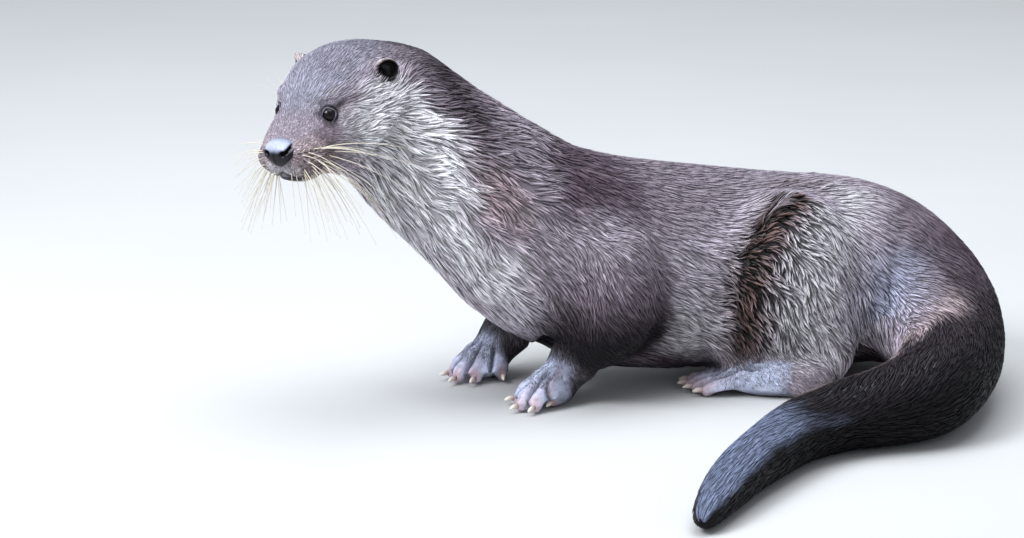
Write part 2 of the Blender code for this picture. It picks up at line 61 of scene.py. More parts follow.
BAKE_MAP = "OFBake"
TINT = "coat_tint"
FIRST_SEED = 40
COARSE_SHARE = 0.12
FLESH = [name for name in sorted(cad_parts) if not name.startswith(("eye", "nose", "claw"))]

Colour = tuple[float, float, float]
Triple = tuple[float, float, float]
Pair = tuple[float, float]
Lay = Callable[["Tint", np.ndarray], None]


# ---------------------------------------------------------------- small helpers


def smooth(low: float, high: float, values: np.ndarray) -> np.ndarray:
    """Smoothstep from 0 at low to 1 at high; high may be below low."""
    t = np.clip((values - low) / (high - low), 0, 1)
    return t * t * (3 - 2 * t)


def bell(values: np.ndarray, centre: float, width: float) -> np.ndarray:
    """A bell curve of height 1 at the centre."""
    return np.exp(-(((values - centre) / width) ** 2))


def unit(vectors: np.ndarray) -> np.ndarray:
    """Rows scaled to length 1."""
    return vectors / np.maximum(np.linalg.norm(vectors, axis=-1, keepdims=True), 1e-12)


def blend(first: np.ndarray, second: np.ndarray, share: np.ndarray) -> np.ndarray:
    """Rows that go from the first value to the second by each share."""
    return first + (second - first) * share[:, None]


def along(vectors: np.ndarray, normals: np.ndarray) -> np.ndarray:
    """The directions of the vectors along a surface with these normals."""
    return unit(vectors - normals * (vectors * normals).sum(1, keepdims=True))


def oval(points: np.ndarray, centre: tuple[float, ...], radii: tuple[float, ...]) -> np.ndarray:
    """How far out of an oval each point lies, 1 on its outline."""
    return np.linalg.norm((points - np.array(centre)) / np.array(radii), axis=1)


def folded(local: np.ndarray) -> np.ndarray:
    """Head points with the right side laid on the left."""
    return np.stack([local[:, 0], np.abs(local[:, 1]), local[:, 2]], axis=1)


def linear(tint: Colour) -> np.ndarray:
    """A display colour as linear light."""
    value = np.array(tint)
    return np.where(value <= 0.04045, value / 12.92, ((value + 0.055) / 1.055) ** 2.4)


def ripple(points: np.ndarray, size: float, seed: int, waves: int = 9) -> np.ndarray:
    """Smooth random values, about -1 to 1, that change over the given size.

    Args:
        points: Places in metres, one per row.
        size: Length of the changes in metres.
        seed: Which of the patterns.
        waves: Number of waves that are added.

    Returns:
        One value per point.
    """
    rng = np.random.default_rng(seed)
    ways = unit(rng.normal(size=(waves, 3))) * (2 * math.pi / size) * rng.uniform(0.6, 1.5, (waves, 1))
    phases = rng.uniform(0, 2 * math.pi, waves)
    return np.sin(points @ ways.T + phases).sum(axis=1) * math.sqrt(2 / waves) * 0.7


def node_points(*names: str) -> np.ndarray:
    """The corners of the named solids."""
    rows = [vert.co[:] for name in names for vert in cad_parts[name].data.vertices]
    return np.array(rows)


def corners_of(mesh: bpy.types.Mesh) -> np.ndarray:
    """The places of a mesh's corners."""
    return Surface.read(mesh.vertices, "co", 3)


def box_rows(name: str) -> tuple[np.ndarray, np.ndarray]:
    """The low and the high corner of a solid's box."""
    low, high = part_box(name)
    return np.array(low), np.array(high)


def middle(name: str) -> Vector:
    """The middle of a solid's box."""
    low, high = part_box(name)
    return (low + high) / 2


def new_object(mesh: bpy.types.Mesh, name: str) -> bpy.types.Object:
    """An object in the scene at the origin, with smooth faces.

    Args:
        mesh: The mesh.
        name: Its name.

    Returns:
        The object.
    """
    obj = bpy.data.objects.new(name, mesh)
    bpy.context.scene.collection.objects.link(obj)
    mesh.shade_smooth()
    return obj


def mesh_of(bm: bmesh.types.BMesh, name: str) -> bpy.types.Mesh:
    """Writes a bmesh to a new mesh and frees it.

    Args:
        bm: The mesh in the making.
        name: Its name.

    Returns:
        The mesh.
    """
    mesh = bpy.data.meshes.new(name)
    bm.to_mesh(mesh)
    bm.free()
    return mesh


def facing(way: Vector) -> Matrix:
    """The shortest turn from upright to a direction."""
    return Vector((0, 0, 1)).rotation_difference(way).to_matrix()


def ring_of(bm: bmesh.types.BMesh, sides: int, radius: float, centre: Vector,
            turn: Matrix) -> list[bmesh.types.BMVert]:
    """A circle of corners round a centre, lying across the turned upright."""
    place = Matrix.Translation(centre) @ turn.to_4x4()
    return bmesh.ops.create_circle(bm, segments=sides, radius=radius, matrix=place)["verts"]


def ring_edges(verts: list[bmesh.types.BMVert]) -> list[bmesh.types.BMEdge]:
    """The edges between the corners of one ring."""
    inside = set(verts)
    return list({edge for vert in verts for edge in vert.link_edges if edge.other_vert(vert) in inside})


def close_tube(bm: bmesh.types.BMesh, loops: list[list[bmesh.types.BMVert]]) -> None:
    """Bridges each ring of a tube to the next and closes both ends.

    Args:
        bm: The mesh in the making.
        loops: The corners of each ring in turn.
    """
    for first, second in zip(loops, loops[1:]):
        bmesh.ops.bridge_loops(bm, edges=ring_edges(first) + ring_edges(second))
    for verts in (loops[0], loops[-1]):
        bmesh.ops.contextual_create(bm, geom=ring_edges(verts))


def settle(obj: bpy.types.Object) -> None:
    """Applies an object's modifiers to its mesh.

    Args:
        obj: The object.
    """
    bpy.context.view_layer.update()
    seen = obj.evaluated_get(bpy.context.evaluated_depsgraph_get())
    mesh = bpy.data.meshes.new_from_object(seen)
    obj.modifiers.clear()
    old = obj.data
    obj.data = mesh
    bpy.data.meshes.remove(old)


def finish_piece(obj: bpy.types.Object, material: bpy.types.Material, slot: str, *nodes: str) -> None:
    """Dresses a piece, sets it on the body and hides the solids that it stands for.

    Args:
        obj: The object.
        material: Its finish.
        slot: What kind of surface it is; not used.
        *nodes: The solids that it stands for.
    """
    obj.data.materials.clear()
    obj.data.materials.append(material)
    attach(obj, BODY)
    if nodes:
        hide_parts(*nodes)
    LOG.info("%s: %d faces", obj.name, len(obj.data.polygons))


@dataclass(frozen=True)
class Axes:
    """A place with its own directions, measured in a unit of its own."""

    origin: Vector
    ahead: Vector
    left: Vector
    up: Vector
    unit: float = CM

    def at(self, ahead: float, left: float, up: float) -> Vector:
        """A point given in these directions, in metres."""
        return self.origin + (self.ahead * ahead + self.left * left + self.up * up) * self.unit

    def way(self, ahead: float, left: float, up: float) -> Vector:
        """A direction given in these directions."""
        return (self.ahead * ahead + self.left * left + self.up * up).normalized()

    def local(self, points: np.ndarray) -> np.ndarray:
        """Points in these directions, as columns ahead, left and up."""
        turn = np.array([self.ahead, self.left, self.up]).T
        return (points - np.array(self.origin)) @ turn / self.unit


def head_axes() -> Axes:
    """The head's own directions in centimetres, from the middle between the ears.

    Returns:
        The directions and their origin.
    """
    eye_ahead, eye_up = 5.27, -1.84
    nose_ahead, nose_up = 9.0, -3.57
    nose_lead = math.atan2(nose_up - eye_up, nose_ahead - eye_ahead)
    left_eye, right_eye, nose = middle("eye_left"), middle("eye_right"), middle("nose")
    left = (left_eye - right_eye).normalized()
    brow = (left_eye + right_eye) / 2
    lead = nose - brow
    lead = (lead - left * lead.dot(left)).normalized()
    rise = lead.cross(left)
    ahead = lead * math.cos(nose_lead) - rise * math.sin(nose_lead)
    up = lead * math.sin(nose_lead) + rise * math.cos(nose_lead)
    origin = brow - (ahead * eye_ahead + up * eye_up) * CM
    return Axes(origin, ahead, left, up)


HEAD = head_axes()


# ---------------------------------------------------------------- surfaces


class Surface:
    """A mesh of triangles as arrays, with a search tree and smoothing over its edges."""

    def __init__(self, obj: bpy.types.Object) -> None:
        """Reads an object's mesh, which is at the origin.

        Args:
            obj: An object with a mesh of triangles.
        """
        mesh = obj.data
        mesh.calc_loop_triangles()
        self.points = self.read(mesh.vertices, "co", 3)
        self.normals = self.read(mesh.vertices, "normal", 3)
        self.edges = self.read(mesh.edges, "vertices", 2, np.int32)
        self.faces = self.read(mesh.loop_triangles, "vertices", 3, np.int32)
        self.tree: BVHTree | None = None
        both = np.concatenate([self.edges, self.edges[:, ::-1]])
        both = both[np.argsort(both[:, 0], kind="stable")]
        self.others = both[:, 1]
        self.starts = np.searchsorted(both[:, 0], np.arange(len(self.points)))
        self.degree = np.bincount(both[:, 0], minlength=len(self.points)).astype(float)

    @staticmethod
    def read(rows: bpy.types.bpy_prop_collection, name: str, width: int, kind: type = float) -> np.ndarray:
        """One property of every row as an array.

        Args:
            rows: Corners, edges or faces.
            name: The property.
            width: Numbers in each row.
            kind: What the numbers are.

        Returns:
            One row for each.
        """
        values = np.zeros(len(rows) * width, np.float32 if kind is float else kind)
        rows.foreach_get(name, values)
        return values.reshape(-1, width).astype(kind)

    def blur(self, values: np.ndarray, passes: int, share: float = 0.5) -> np.ndarray:
        """Values at the corners, each moved towards the mean of its neighbours.

        Args:
            values: A number or a row for each corner.
            passes: How many times.
            share: How far they move each time.

        Returns:
            The values after that, in the same shape.
        """
        flat = values.ndim == 1
        values = values[:, None] if flat else values
        for _ in range(passes):
            mean = np.add.reduceat(values[self.others], self.starts, axis=0) / self.degree[:, None]
            values = values * (1 - share) + mean * share
        return values[:, 0] if flat else values

    def nearest(self, points: np.ndarray) -> tuple[np.ndarray, np.ndarray]:
        """The nearest face to each point and the nearest place on it.

        Args:
            points: Places in metres, one per row.

        Returns:
            The numbers of the faces, and places in metres.
        """
        if self.tree is None:
            self.tree = BVHTree.FromPolygons(self.points.tolist(), self.faces.tolist())
        find = self.tree.find_nearest
        found = [find(point) for point in points.tolist()]
        return np.array([f[2] for f in found]), np.array([f[0][:] for f in found])

    def locate(self, points: np.ndarray) -> tuple[np.ndarray, np.ndarray]:
        """The nearest face to each point and the shares of its corners there."""
        face, places = self.nearest(points)
        return face, self.shares(face, places)

    def shares(self, face: np.ndarray, places: np.ndarray) -> np.ndarray:
        """How much each corner of its face counts at each place.

        Args:
            face: The face that each place is on.
            places: Places in metres, one per row.

        Returns:
            Three shares per place, which make up 1.
        """
        a, b, c = (self.points[self.faces[face, i]] for i in range(3))
        ab, ac, ap = b - a, c - a, places - a
        d00, d01, d11 = (ab * ab).sum(1), (ab * ac).sum(1), (ac * ac).sum(1)
        d20, d21 = (ap * ab).sum(1), (ap * ac).sum(1)
        whole = np.maximum(d00 * d11 - d01 * d01, 1e-20)
        second = np.clip((d11 * d20 - d01 * d21) / whole, 0, 1)
        third = np.clip((d00 * d21 - d01 * d20) / whole, 0, 1 - second)
        return np.stack([1 - second - third, second, third], axis=1)

    def sample(self, values: np.ndarray, face: np.ndarray, shares: np.ndarray) -> np.ndarray:
        """Values at the corners, blended at places on faces."""
        corners = values[self.faces[face]]
        return np.einsum("nk,nk...->n...", shares, corners)


@dataclass
class Socket:
    """An eye's place in the head: the ball's centre, where it looks, and the opening of its lids."""

    side: int
    centre: Vector
    radius: float
    half_width: float = math.radians(63)
    half_height: float = math.radians(60)
    roundness: float = 1.9
    lid: float = 0.75 * MM
    inside: float = 1.1 * MM

    @property
    def name(self) -> str:
        """Which eye it is."""
        return "left" if self.side > 0 else "right"

    def axes(self) -> Axes:
        """Ahead is where the eye looks, left is towards its outer corner.

        Returns:
            The directions in metres, from the middle of the eye.
        """
        gaze = HEAD.way(0.74, 0.63 * self.side, 0.22)
        outer = HEAD.way(-0.70, 0.62 * self.side, 0.18)
        outer = (outer - gaze * outer.dot(gaze)).normalized()
        up = gaze.cross(outer) if self.side > 0 else outer.cross(gaze)
        return Axes(self.centre, gaze, outer, up, 1.0)

    def opening(self, points: np.ndarray) -> tuple[np.ndarray, np.ndarray]:
        """How far out of the opening each point stands, 1 on its edge, and its distance from the centre.

        Args:
            points: Places in metres, one per row.

        Returns:
            The share and the distance in metres, for each place.
        """
        local = self.axes().local(points)
        distance = np.linalg.norm(local, axis=1)
        across = np.arctan2(local[:, 1], local[:, 0]) / self.half_width
        height = np.arctan2(local[:, 2], local[:, 0]) / self.half_height
        power = self.roundness
        edge = (np.abs(across) ** power + np.abs(height) ** power) ** (1 / power)
        return np.where(local[:, 0] > -0.3 * distance, edge, 9.0), distance

    def aside(self, points: np.ndarray) -> np.ndarray:
        """How far each point lies beside the line of sight, in radii of the eye, and 9 away from the eye.

        Args:
            points: Places in metres, one per row.

        Returns:
            One number for each place.
        """
        local = self.axes().local(points) / self.radius
        near = (local[:, 0] > -1.5) & (np.linalg.norm(local, axis=1) < 6)
        return np.where(near, np.linalg.norm(local[:, 1:], axis=1), 9.0)


def sockets() -> list[Socket]:
    """The two eyes, left first.

    Returns:
        One for each eye.
    """
    made = []
    for side, name in ((1, "eye_left"), (-1, "eye_right")):
        low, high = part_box(name)
        made.append(Socket(side, (low + high) / 2, (high.z - low.z) / 2))
    return made


@dataclass
class Limb:
    """A paw or foot, read from its claws: where the toes fan out from and the line of each toe.

    Distances along a toe are shares of the way from the fan's start to the tip of the claw.
    """

    node: str
    lift: float
    bare_from: float
    root: float = 0.36
    knuckle: float = 0.66
    sag: float = 0.72
    toe: float = 5.0 * MM
    claw: float = 8.5 * MM
    past_tip: float = 1.2

    def claws(self) -> list[str]:
        """The nodes of its five claws."""
        return sorted(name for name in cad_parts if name.startswith("claw_" + self.node))

    def ends(self) -> tuple[np.ndarray, np.ndarray]:
        """The middle and the level direction of each claw.

        Returns:
            Two arrays with one row per claw.
        """
        middles, ways = [], []
        low, high = box_rows(self.node)
        for name in self.claws():
            rows = node_points(name)
            flat = rows[:, :2] - rows[:, :2].mean(axis=0)
            way = np.linalg.svd(flat, full_matrices=False)[2][0]
            outward = rows[:, :2].mean(axis=0) - (low + high)[:2] / 2
            middles.append(rows.mean(axis=0))
            ways.append(way * np.sign(way @ outward))
        return np.array(middles), np.array(ways)

    def fan(self) -> np.ndarray:
        """The point that the lines of all the claws come nearest to, on the floor.

        Returns:
            A place in metres.
        """
        middles, ways = self.ends()
        total, right = np.zeros((2, 2)), np.zeros(2)
        for centre, way in zip(middles[:, :2], ways):
            across = np.eye(2) - np.outer(way, way)
            total += across
            right += across @ centre
        return np.append(np.linalg.solve(total, right), 0.0)

    def toes(self) -> list[np.ndarray]:
        """Root, knuckle, last joint and tip of each toe.

        Returns:
            Four places for each toe.
        """
        start = self.fan()
        made = []
        for centre in self.ends()[0]:
            reach = np.append(centre[:2] - start[:2], 0.0)
            way = unit(reach)
            reach = reach + way * self.claw * 0.5
            tip = start + reach - way * (self.claw * 0.6 + self.toe) + np.array((0, 0, self.toe))
            root = start + reach * self.root + np.array((0, 0, self.lift))
            knuckle = start + reach * self.knuckle + np.array((0, 0, self.lift * self.sag))
            joint = knuckle * 0.38 + tip * 0.62 + np.array((0, 0, 1.2 * MM))
            made.append(np.array([root, knuckle, joint, tip]))
        return made

    def heading(self) -> np.ndarray:
        """The level direction of the middle toe."""
        way = self.toes()[2][3] - self.fan()
        return unit(way * np.array((1, 1, 0)))

    def ahead(self, points: np.ndarray) -> np.ndarray:
        """How far before the start of the fan each point lies, and -1 away from this limb.

        Args:
            points: Places in metres, one per row.

        Returns:
            Metres for each place.
        """
        low, high = box_rows(self.node)
        gap = np.maximum(np.maximum(low - points, points - high), 0).max(axis=1)
        return np.where(gap < 12 * MM, (points - self.fan()) @ self.heading(), -1.0)

    def lines(self, points: np.ndarray) -> tuple[np.ndarray, np.ndarray]:
        """Level distances from the lines of the five toes, and shares along the nearest.

        Args:
            points: Places in metres, one per row.

        Returns:
            Distances with the nearest line first, and one share per place.
        """
        start = self.fan()
        flat = (points - start)[:, :2]
        aside, share = [], []
        for toe in self.toes():
            reach = (toe[3] - start)[:2]
            length = np.linalg.norm(reach)
            share.append(flat @ (reach / length) / length)
            aside.append(np.linalg.norm(flat - np.clip(share[-1], 0, self.past_tip)[:, None] * reach, axis=1))
        aside, share = np.array(aside), np.array(share)
        nearest = aside.argmin(axis=0)
        return np.sort(aside, axis=0), share[nearest, np.arange(len(points))]

    def web(self, aside: np.ndarray, share: np.ndarray, full: float = 0.55) -> np.ndarray:
        """How near each place is to the middle of a web, which is whole from a share of the toes on."""
        return bell(aside[1] - aside[0], 0.0, 3.4 * MM) * smooth(0.30, full, share)


@dataclass
class Ear:
    """A small cup: which side it is on and where it opens."""

    side: int
    node: str
    rim: Pair = (0.92, 0.86)

    def axes(self) -> Axes:
        """Ahead is where the cup opens, left runs across it and up to its rim.

        Returns:
            The directions, from the middle of the ear.
        """
        out = HEAD.way(0.60, 0.76 * self.side, 0.12)
        up = HEAD.way(-0.25, 0.0, 1.0)
        up = (up - out * up.dot(out)).normalized()
        return Axes(middle(self.node), out, up.cross(out), up)

    def front(self) -> np.ndarray:
        """The low front side of the cup, across it and up.

        Returns:
            A direction across the cup.
        """
        axes = self.axes()
        way = np.array((HEAD.ahead.dot(axes.left), HEAD.ahead.dot(axes.up) - 0.75))
        return way / np.linalg.norm(way)

    def cup(self, points: np.ndarray) -> tuple[np.ndarray, np.ndarray]:
        """Each point in the ear's own directions, and how far out it lies, 1 on the rim."""
        local = self.axes().local(points)
        return local, oval(local[:, 1:], (0.0, 0.0), self.rim)

    def low_front(self, local: np.ndarray) -> np.ndarray:
        """1 on the low front side of the cup and -1 opposite."""
        return (local[:, 1:] @ self.front()) / np.maximum(np.linalg.norm(local[:, 1:], axis=1), 1e-6)


@dataclass
class Thigh:
    """The outline of a thigh on the flank: its front edge and the fold behind it, in shares of its box."""

    side: int
    node: str
    edge: tuple[Pair, ...] = ((0.0, 0.20), (0.14, 0.175), (0.30, 0.155), (0.50, 0.165),
                              (0.70, 0.20), (0.88, 0.315), (0.98, 0.44), (1.06, 0.60))
    fold: tuple[Pair, ...] = ((0.30, 0.97), (0.60, 1.02), (0.90, 1.09))
    margin: float = 0.012
    before: float = 0.02

    def shares(self, points: np.ndarray) -> tuple[np.ndarray, np.ndarray, float]:
        """Height and length shares of the thigh's box, and the length of the box.

        Args:
            points: Places in metres, one per row.

        Returns:
            Height, length and the box's length in metres.
        """
        low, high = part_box(self.node)
        length = high.x - low.x
        return (points[:, 2] - low.z) / (high.z - low.z), (points[:, 0] - low.x) / length, length

    def before_edge(self, points: np.ndarray) -> tuple[np.ndarray, np.ndarray]:
        """Metres before the front edge, and how much of the edge there is at this height.

        Args:
            points: Places in metres, one per row.

        Returns:
            The distance and the share, for each place.
        """
        height, along, length = self.shares(points)
        heights, places = (np.array(row) for row in zip(*self.edge))
        ahead = (np.interp(height, heights, places) - along) * length
        return ahead, smooth(0.10, 0.28, height) * smooth(1.10, 0.98, height)

    def behind_fold(self, points: np.ndarray) -> np.ndarray:
        """Metres behind the fold at the back of the thigh.

        Args:
            points: Places in metres, one per row.

        Returns:
            One number for each place.
        """
        height, along, length = self.shares(points)
        heights, places = (np.array(row) for row in zip(*self.fold))
        inside = (height > 0.38) & (height < 0.84)
        return np.where(inside, (along - np.interp(height, heights, places)) * length, 1.0)

    def side_share(self, points: np.ndarray, normals: np.ndarray) -> np.ndarray:
        """1 on the outer side of this leg and 0 elsewhere.

        Args:
            points: Places in metres, one per row.
            normals: The way the skin faces at each place.

        Returns:
            One number for each place.
        """
        low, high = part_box(self.node)
        inner = (high.y if self.side > 0 else low.y) + self.margin * self.side
        outside = smooth(0.0, 10 * MM, (inner - points[:, 1]) * self.side)
        return outside * smooth(0.05, 0.45, -normals[:, 1] * self.side) * (points[:, 0] > low.x - self.before)


EARS = [Ear(1, "ear_left"), Ear(-1, "ear_right")]
THIGHS = [Thigh(1, "hind_leg_left"), Thigh(-1, "hind_leg_right")]
LIMBS = [Limb("forepaw_left", 20.5 * MM, 14 * MM), Limb("forepaw_right", 20.5 * MM, 14 * MM),
         Limb("hind_foot_left", 15.0 * MM, 15 * MM), Limb("hind_foot_right", 15.0 * MM, 15 * MM)]


def near_toes(points: np.ndarray, before: float, after: float) -> np.ndarray:
    """Rises from 0 before the place where the fur of each paw or foot ends to 1 after it."""
    shares = [smooth(limb.bare_from - before, limb.bare_from + after, limb.ahead(points)) for limb in LIMBS]
    return np.max(shares, axis=0)


class Part(Enum):
    """The parts of the body, by the solids that stand for them."""

    HEAD = ("head", "lower_jaw")
    NECK = ("neck",)
    TRUNK = ("trunk",)
    TAIL = ("tail_base", "tail_middle", "tail_tip")
    FORELEG = ("foreleg_left", "foreleg_right")
    HIND_LEG = ("hind_leg_left", "hind_leg_right")
    PAW = ("forepaw_left", "forepaw_right")
    FOOT = ("hind_foot_left", "hind_foot_right")
    EAR = ("ear_left", "ear_right")


COAT_DEPTH = {Part.HEAD: 0.6, Part.NECK: 2.6, Part.TRUNK: 2.8, Part.TAIL: 2.2, Part.FORELEG: 2.0,
              Part.HIND_LEG: 2.8, Part.PAW: 0.1, Part.FOOT: 0.1, Part.EAR: 0.3}


@dataclass(frozen=True)
class Swell:
    """A soft rise or hollow on both sides of the head, in head centimetres, and millimetres for the rise."""

    centre: Triple
    radii: Triple
    rise: float
    width: float = 0.8

    def height(self, local: np.ndarray) -> np.ndarray:
        """The rise at each head point."""
        return self.rise * bell(oval(folded(local), self.centre, self.radii), 0, self.width)


@dataclass
class Skin:
    """The one skin, with lids, lips and toes, made from all the solids of flesh."""

    voxel: float = 1.4 * MM
    grow: float = 0.35 * MM
    rim: float = math.radians(55)
    triangles: int = 112_000
    eye_round: float = 7.0 * MM
    ear_round: float = 14 * MM
    jaw_middle: float = 6.3
    pad: Triple = (9.0, 0.0, -3.50)
    pad_radii: Triple = (0.90, 1.25, 1.0)
    lip: tuple[Pair, ...] = ((0, -5.08), (9, -5.35), (22, -5.80), (45, -5.98), (70, -5.85), (92, -5.55))
    swells: tuple[Swell, ...] = (Swell((5.9, 2.88, -2.0), (1.9, 1.7, 1.25), -1.9, 0.75),
                                 Swell((4.9, 2.28, -0.55), (1.3, 0.8, 0.55), 0.6),
                                 Swell((4.9, 3.25, -3.75), (1.6, 1.0, 1.0), 0.5))
    obj: bpy.types.Object = field(init=False)
    surface: Surface = field(init=False)
    parts: dict[Part, np.ndarray] = field(init=False)

    def build(self) -> None:
        """Makes the skin, step by step."""
        self.obj = new_object(self.gather(), "skin")
        self.fuse()
        self.thin_out()
        self.find_parts()
        self.sink()
        self.refine()
        self.find_parts()
        self.sculpt()
        self.surface = Surface(self.obj)
        self.find_parts()

    def gather(self) -> bpy.types.Mesh:
        """Every solid of flesh, grown until the cuts between them close, with the holes filled.

        Returns:
            The joined mesh.
        """
        joined = bmesh.new()
        for name in FLESH + ["nose"]:
            bm = bmesh.new()
            bm.from_mesh(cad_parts[name].data)
            bmesh.ops.remove_doubles(bm, verts=bm.verts, dist=1e-6)
            bm.normal_update()
            for vert, normal in [(vert, vert.normal.copy()) for vert in bm.verts]:
                vert.co += normal * self.grow
            piece = mesh_of(bm, name)
            joined.from_mesh(piece)
            bpy.data.meshes.remove(piece)
        for socket in sockets():
            place = Matrix.Translation(socket.centre)
            ball = {"u_segments": 32, "v_segments": 20, "radius": socket.radius}
            bmesh.ops.create_uvsphere(joined, matrix=place, **ball)
        crease = joined.edges.layers.float.new("crease_edge")
        for edge in joined.edges:
            edge[crease] = 1.0 if edge.is_manifold and edge.calc_face_angle() > self.rim else 0.0
        return mesh_of(joined, "skin")

    def fuse(self) -> None:
        """Rounds the facets, joins the pieces into one surface and relaxes it."""
        rounder = self.obj.modifiers.new("Round", "SUBSURF")
        rounder.levels = rounder.render_levels = 2
        union = self.obj.modifiers.new("Union", "REMESH")
        union.mode = "VOXEL"
        union.voxel_size = self.voxel
        settle(self.obj)
        points = corners_of(self.obj.data)
        body = self.plainness(points)
        for name, weight, passes in (("all", np.full(len(body), 1.0), 5), ("body", body, 45)):
            self.group(name, weight)
            relax = self.obj.modifiers.new("Relax", "SMOOTH")
            relax.factor = 0.5
            relax.iterations = passes
            relax.vertex_group = name
        settle(self.obj)

    def plainness(self, points: np.ndarray) -> np.ndarray:
        """1 on the plain body, falling to 0 on the head, paws and feet.

        Args:
            points: Places in metres, one per row.

        Returns:
            One number for each place.
        """
        local = HEAD.local(points)
        ahead, side, up = local[:, 0], np.abs(local[:, 1]), local[:, 2]
        plain = 1 - smooth(-3.0, 0.5, ahead) * smooth(7.5, 5.5, side) * smooth(-11, -8, up)
        for limb in LIMBS:
            tips = np.array([toe[3] for toe in limb.toes()])
            away = np.min([np.linalg.norm(points - tip, axis=1) for tip in tips], axis=0)
            plain *= smooth(22 * MM, 32 * MM, away)
        return plain

    def group(self, name: str, weight: np.ndarray) -> None:
        """Writes a vertex group in steps of a tenth.

        Args:
            name: Its name.
            weight: A share for each corner.
        """
        made = self.obj.vertex_groups.get(name) or self.obj.vertex_groups.new(name=name)
        steps = np.round(weight * 10).astype(int)
        for step in range(11):
            rows = np.flatnonzero(steps == step).tolist()
            if rows:
                made.add(rows, step / 10, "REPLACE")

    def thin_out(self) -> None:
        """Leaves fine triangles on the head, paws and feet and larger ones on the body."""
        points = corners_of(self.obj.data)
        self.group("plain", self.plainness(points))
        whole = len(self.obj.data.polygons) * 2
        fewer = self.obj.modifiers.new("Fewer", "DECIMATE")
        fewer.ratio = min(1.0, self.triangles / whole)
        fewer.vertex_group = "plain"
        fewer.vertex_group_factor = 1.0
        settle(self.obj)
        self.obj.vertex_groups.clear()
        LOG.info("skin thinned from %d to %d", whole, len(self.obj.data.polygons))

    def find_parts(self) -> None:
        """How much each corner of the skin belongs to each part of the body."""
        rows, owner = [], []
        for number, part in enumerate(Part):
            for name in part.value:
                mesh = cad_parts[name].data
                rows += [[mesh.vertices[i].co[:] for i in face.vertices] for face in mesh.polygons]
                owner += [number] * len(mesh.polygons)
        corners = np.array(rows).reshape(-1, 3)
        tree = BVHTree.FromPolygons(corners.tolist(), np.arange(len(corners)).reshape(-1, 3).tolist())
        surface = Surface(self.obj)
        found = [owner[tree.find_nearest(point)[2]] for point in surface.points.tolist()]
        exact = np.eye(len(Part))[found]
        soft = surface.blur(exact, 10)
        self.parts = {part: soft[:, number] for number, part in enumerate(Part)}

    def sink(self) -> None:
        """Moves the skin in by the depth of the coat."""
        surface = Surface(self.obj)
        depth = sum(self.parts[part] * COAT_DEPTH[part] * MM for part in Part)
        muzzle = smooth(5.0, 8.0, HEAD.local(surface.points)[:, 0]) * self.parts[Part.HEAD]
        depth = depth * (1 - 0.7 * muzzle)
        self.move(surface.points - surface.normals * depth[:, None])

    def move(self, points: np.ndarray) -> None:
        """Writes new places of the skin's corners."""
        self.obj.data.vertices.foreach_set("co", points.astype(np.float32).ravel())
        self.obj.data.update()

    def refine(self) -> None:
        """Finer triangles round the eyes and at the front of the muzzle."""
        for reach, tip in ((1.75, True), (1.40, False)):
            bm = bmesh.new()
            bm.from_mesh(self.obj.data)
            points = np.array([vert.co[:] for vert in bm.verts])
            rounds = [(socket.centre, reach * self.eye_round) for socket in sockets()]
            near = np.zeros(len(points), bool)
            if tip:
                near |= (HEAD.local(points)[:, 0] > 6.4) & (np.abs(HEAD.local(points)[:, 1]) < 4)
                rounds += [(middle(name), self.ear_round) for name in Part.EAR.value]
            for centre, radius in rounds:
                near |= np.linalg.norm(points - np.array(centre), axis=1) < radius
            bm.edges.ensure_lookup_table()
            edges = [edge for edge in bm.edges if near[edge.verts[0].index] and near[edge.verts[1].index]]
            bmesh.ops.subdivide_edges(bm, edges=edges, cuts=1, use_grid_fill=True)
            bmesh.ops.triangulate(bm, faces=[face for face in bm.faces if len(face.verts) > 3])
            old = self.obj.data
            self.obj.data = mesh_of(bm, "skin")
            bpy.data.meshes.remove(old)

    def sculpt(self) -> None:
        """Moves the corners for orbits, lids, lips, ears, toes and the edges of the thighs."""
        for shape in (self.orbits, self.lids, self.mouth, self.ears, self.toes, self.thighs):
            self.obj.data.shade_smooth()
            surface = Surface(self.obj)
            self.move(shape(surface.points.copy(), surface))

    def orbits(self, points: np.ndarray, surface: Surface) -> np.ndarray:
        """Narrows the head round the eyes, under a soft brow and over a full cheek."""
        rise = sum(swell.height(HEAD.local(points)) for swell in self.swells)
        return points + surface.normals * (rise * MM)[:, None]

    def lids(self, points: np.ndarray, surface: Surface) -> np.ndarray:
        """Opens the skin over each eyeball and draws a lid round the opening.

        Args:
            points: Places in metres, one per row.
            surface: The skin as it was before this step.

        Returns:
            The places after this step.
        """
        for socket in sockets():
            edge, distance = socket.opening(points)
            centre = np.array(socket.centre)
            lid = socket.radius + socket.lid + 0.5 * MM * smooth(1.15, 1.6, edge)
            near = distance < 2.3 * socket.radius
            share = smooth(1.72, 1.15, edge) * near
            rounded = distance + (lid - distance) * share
            rounded = np.where(near & (edge < 3.0), np.maximum(rounded, socket.radius + 0.45 * MM), rounded)
            rounded = rounded - 0.50 * MM * bell(edge, 1.34, 0.07) * near
            inner = socket.radius - socket.inside
            open_share = smooth(1.08, 0.98, edge) * near
            wanted = rounded + (inner - rounded) * open_share
            outward = (points - centre) / np.maximum(distance[:, None], 1e-9)
            points = points + outward * (wanted - distance)[:, None]
            even = surface.blur(points, 8)
            loose = smooth(1.10, 1.24, edge) * smooth(2.4, 1.8, edge) * near
            points = points + (even - points) * loose[:, None]
        return points

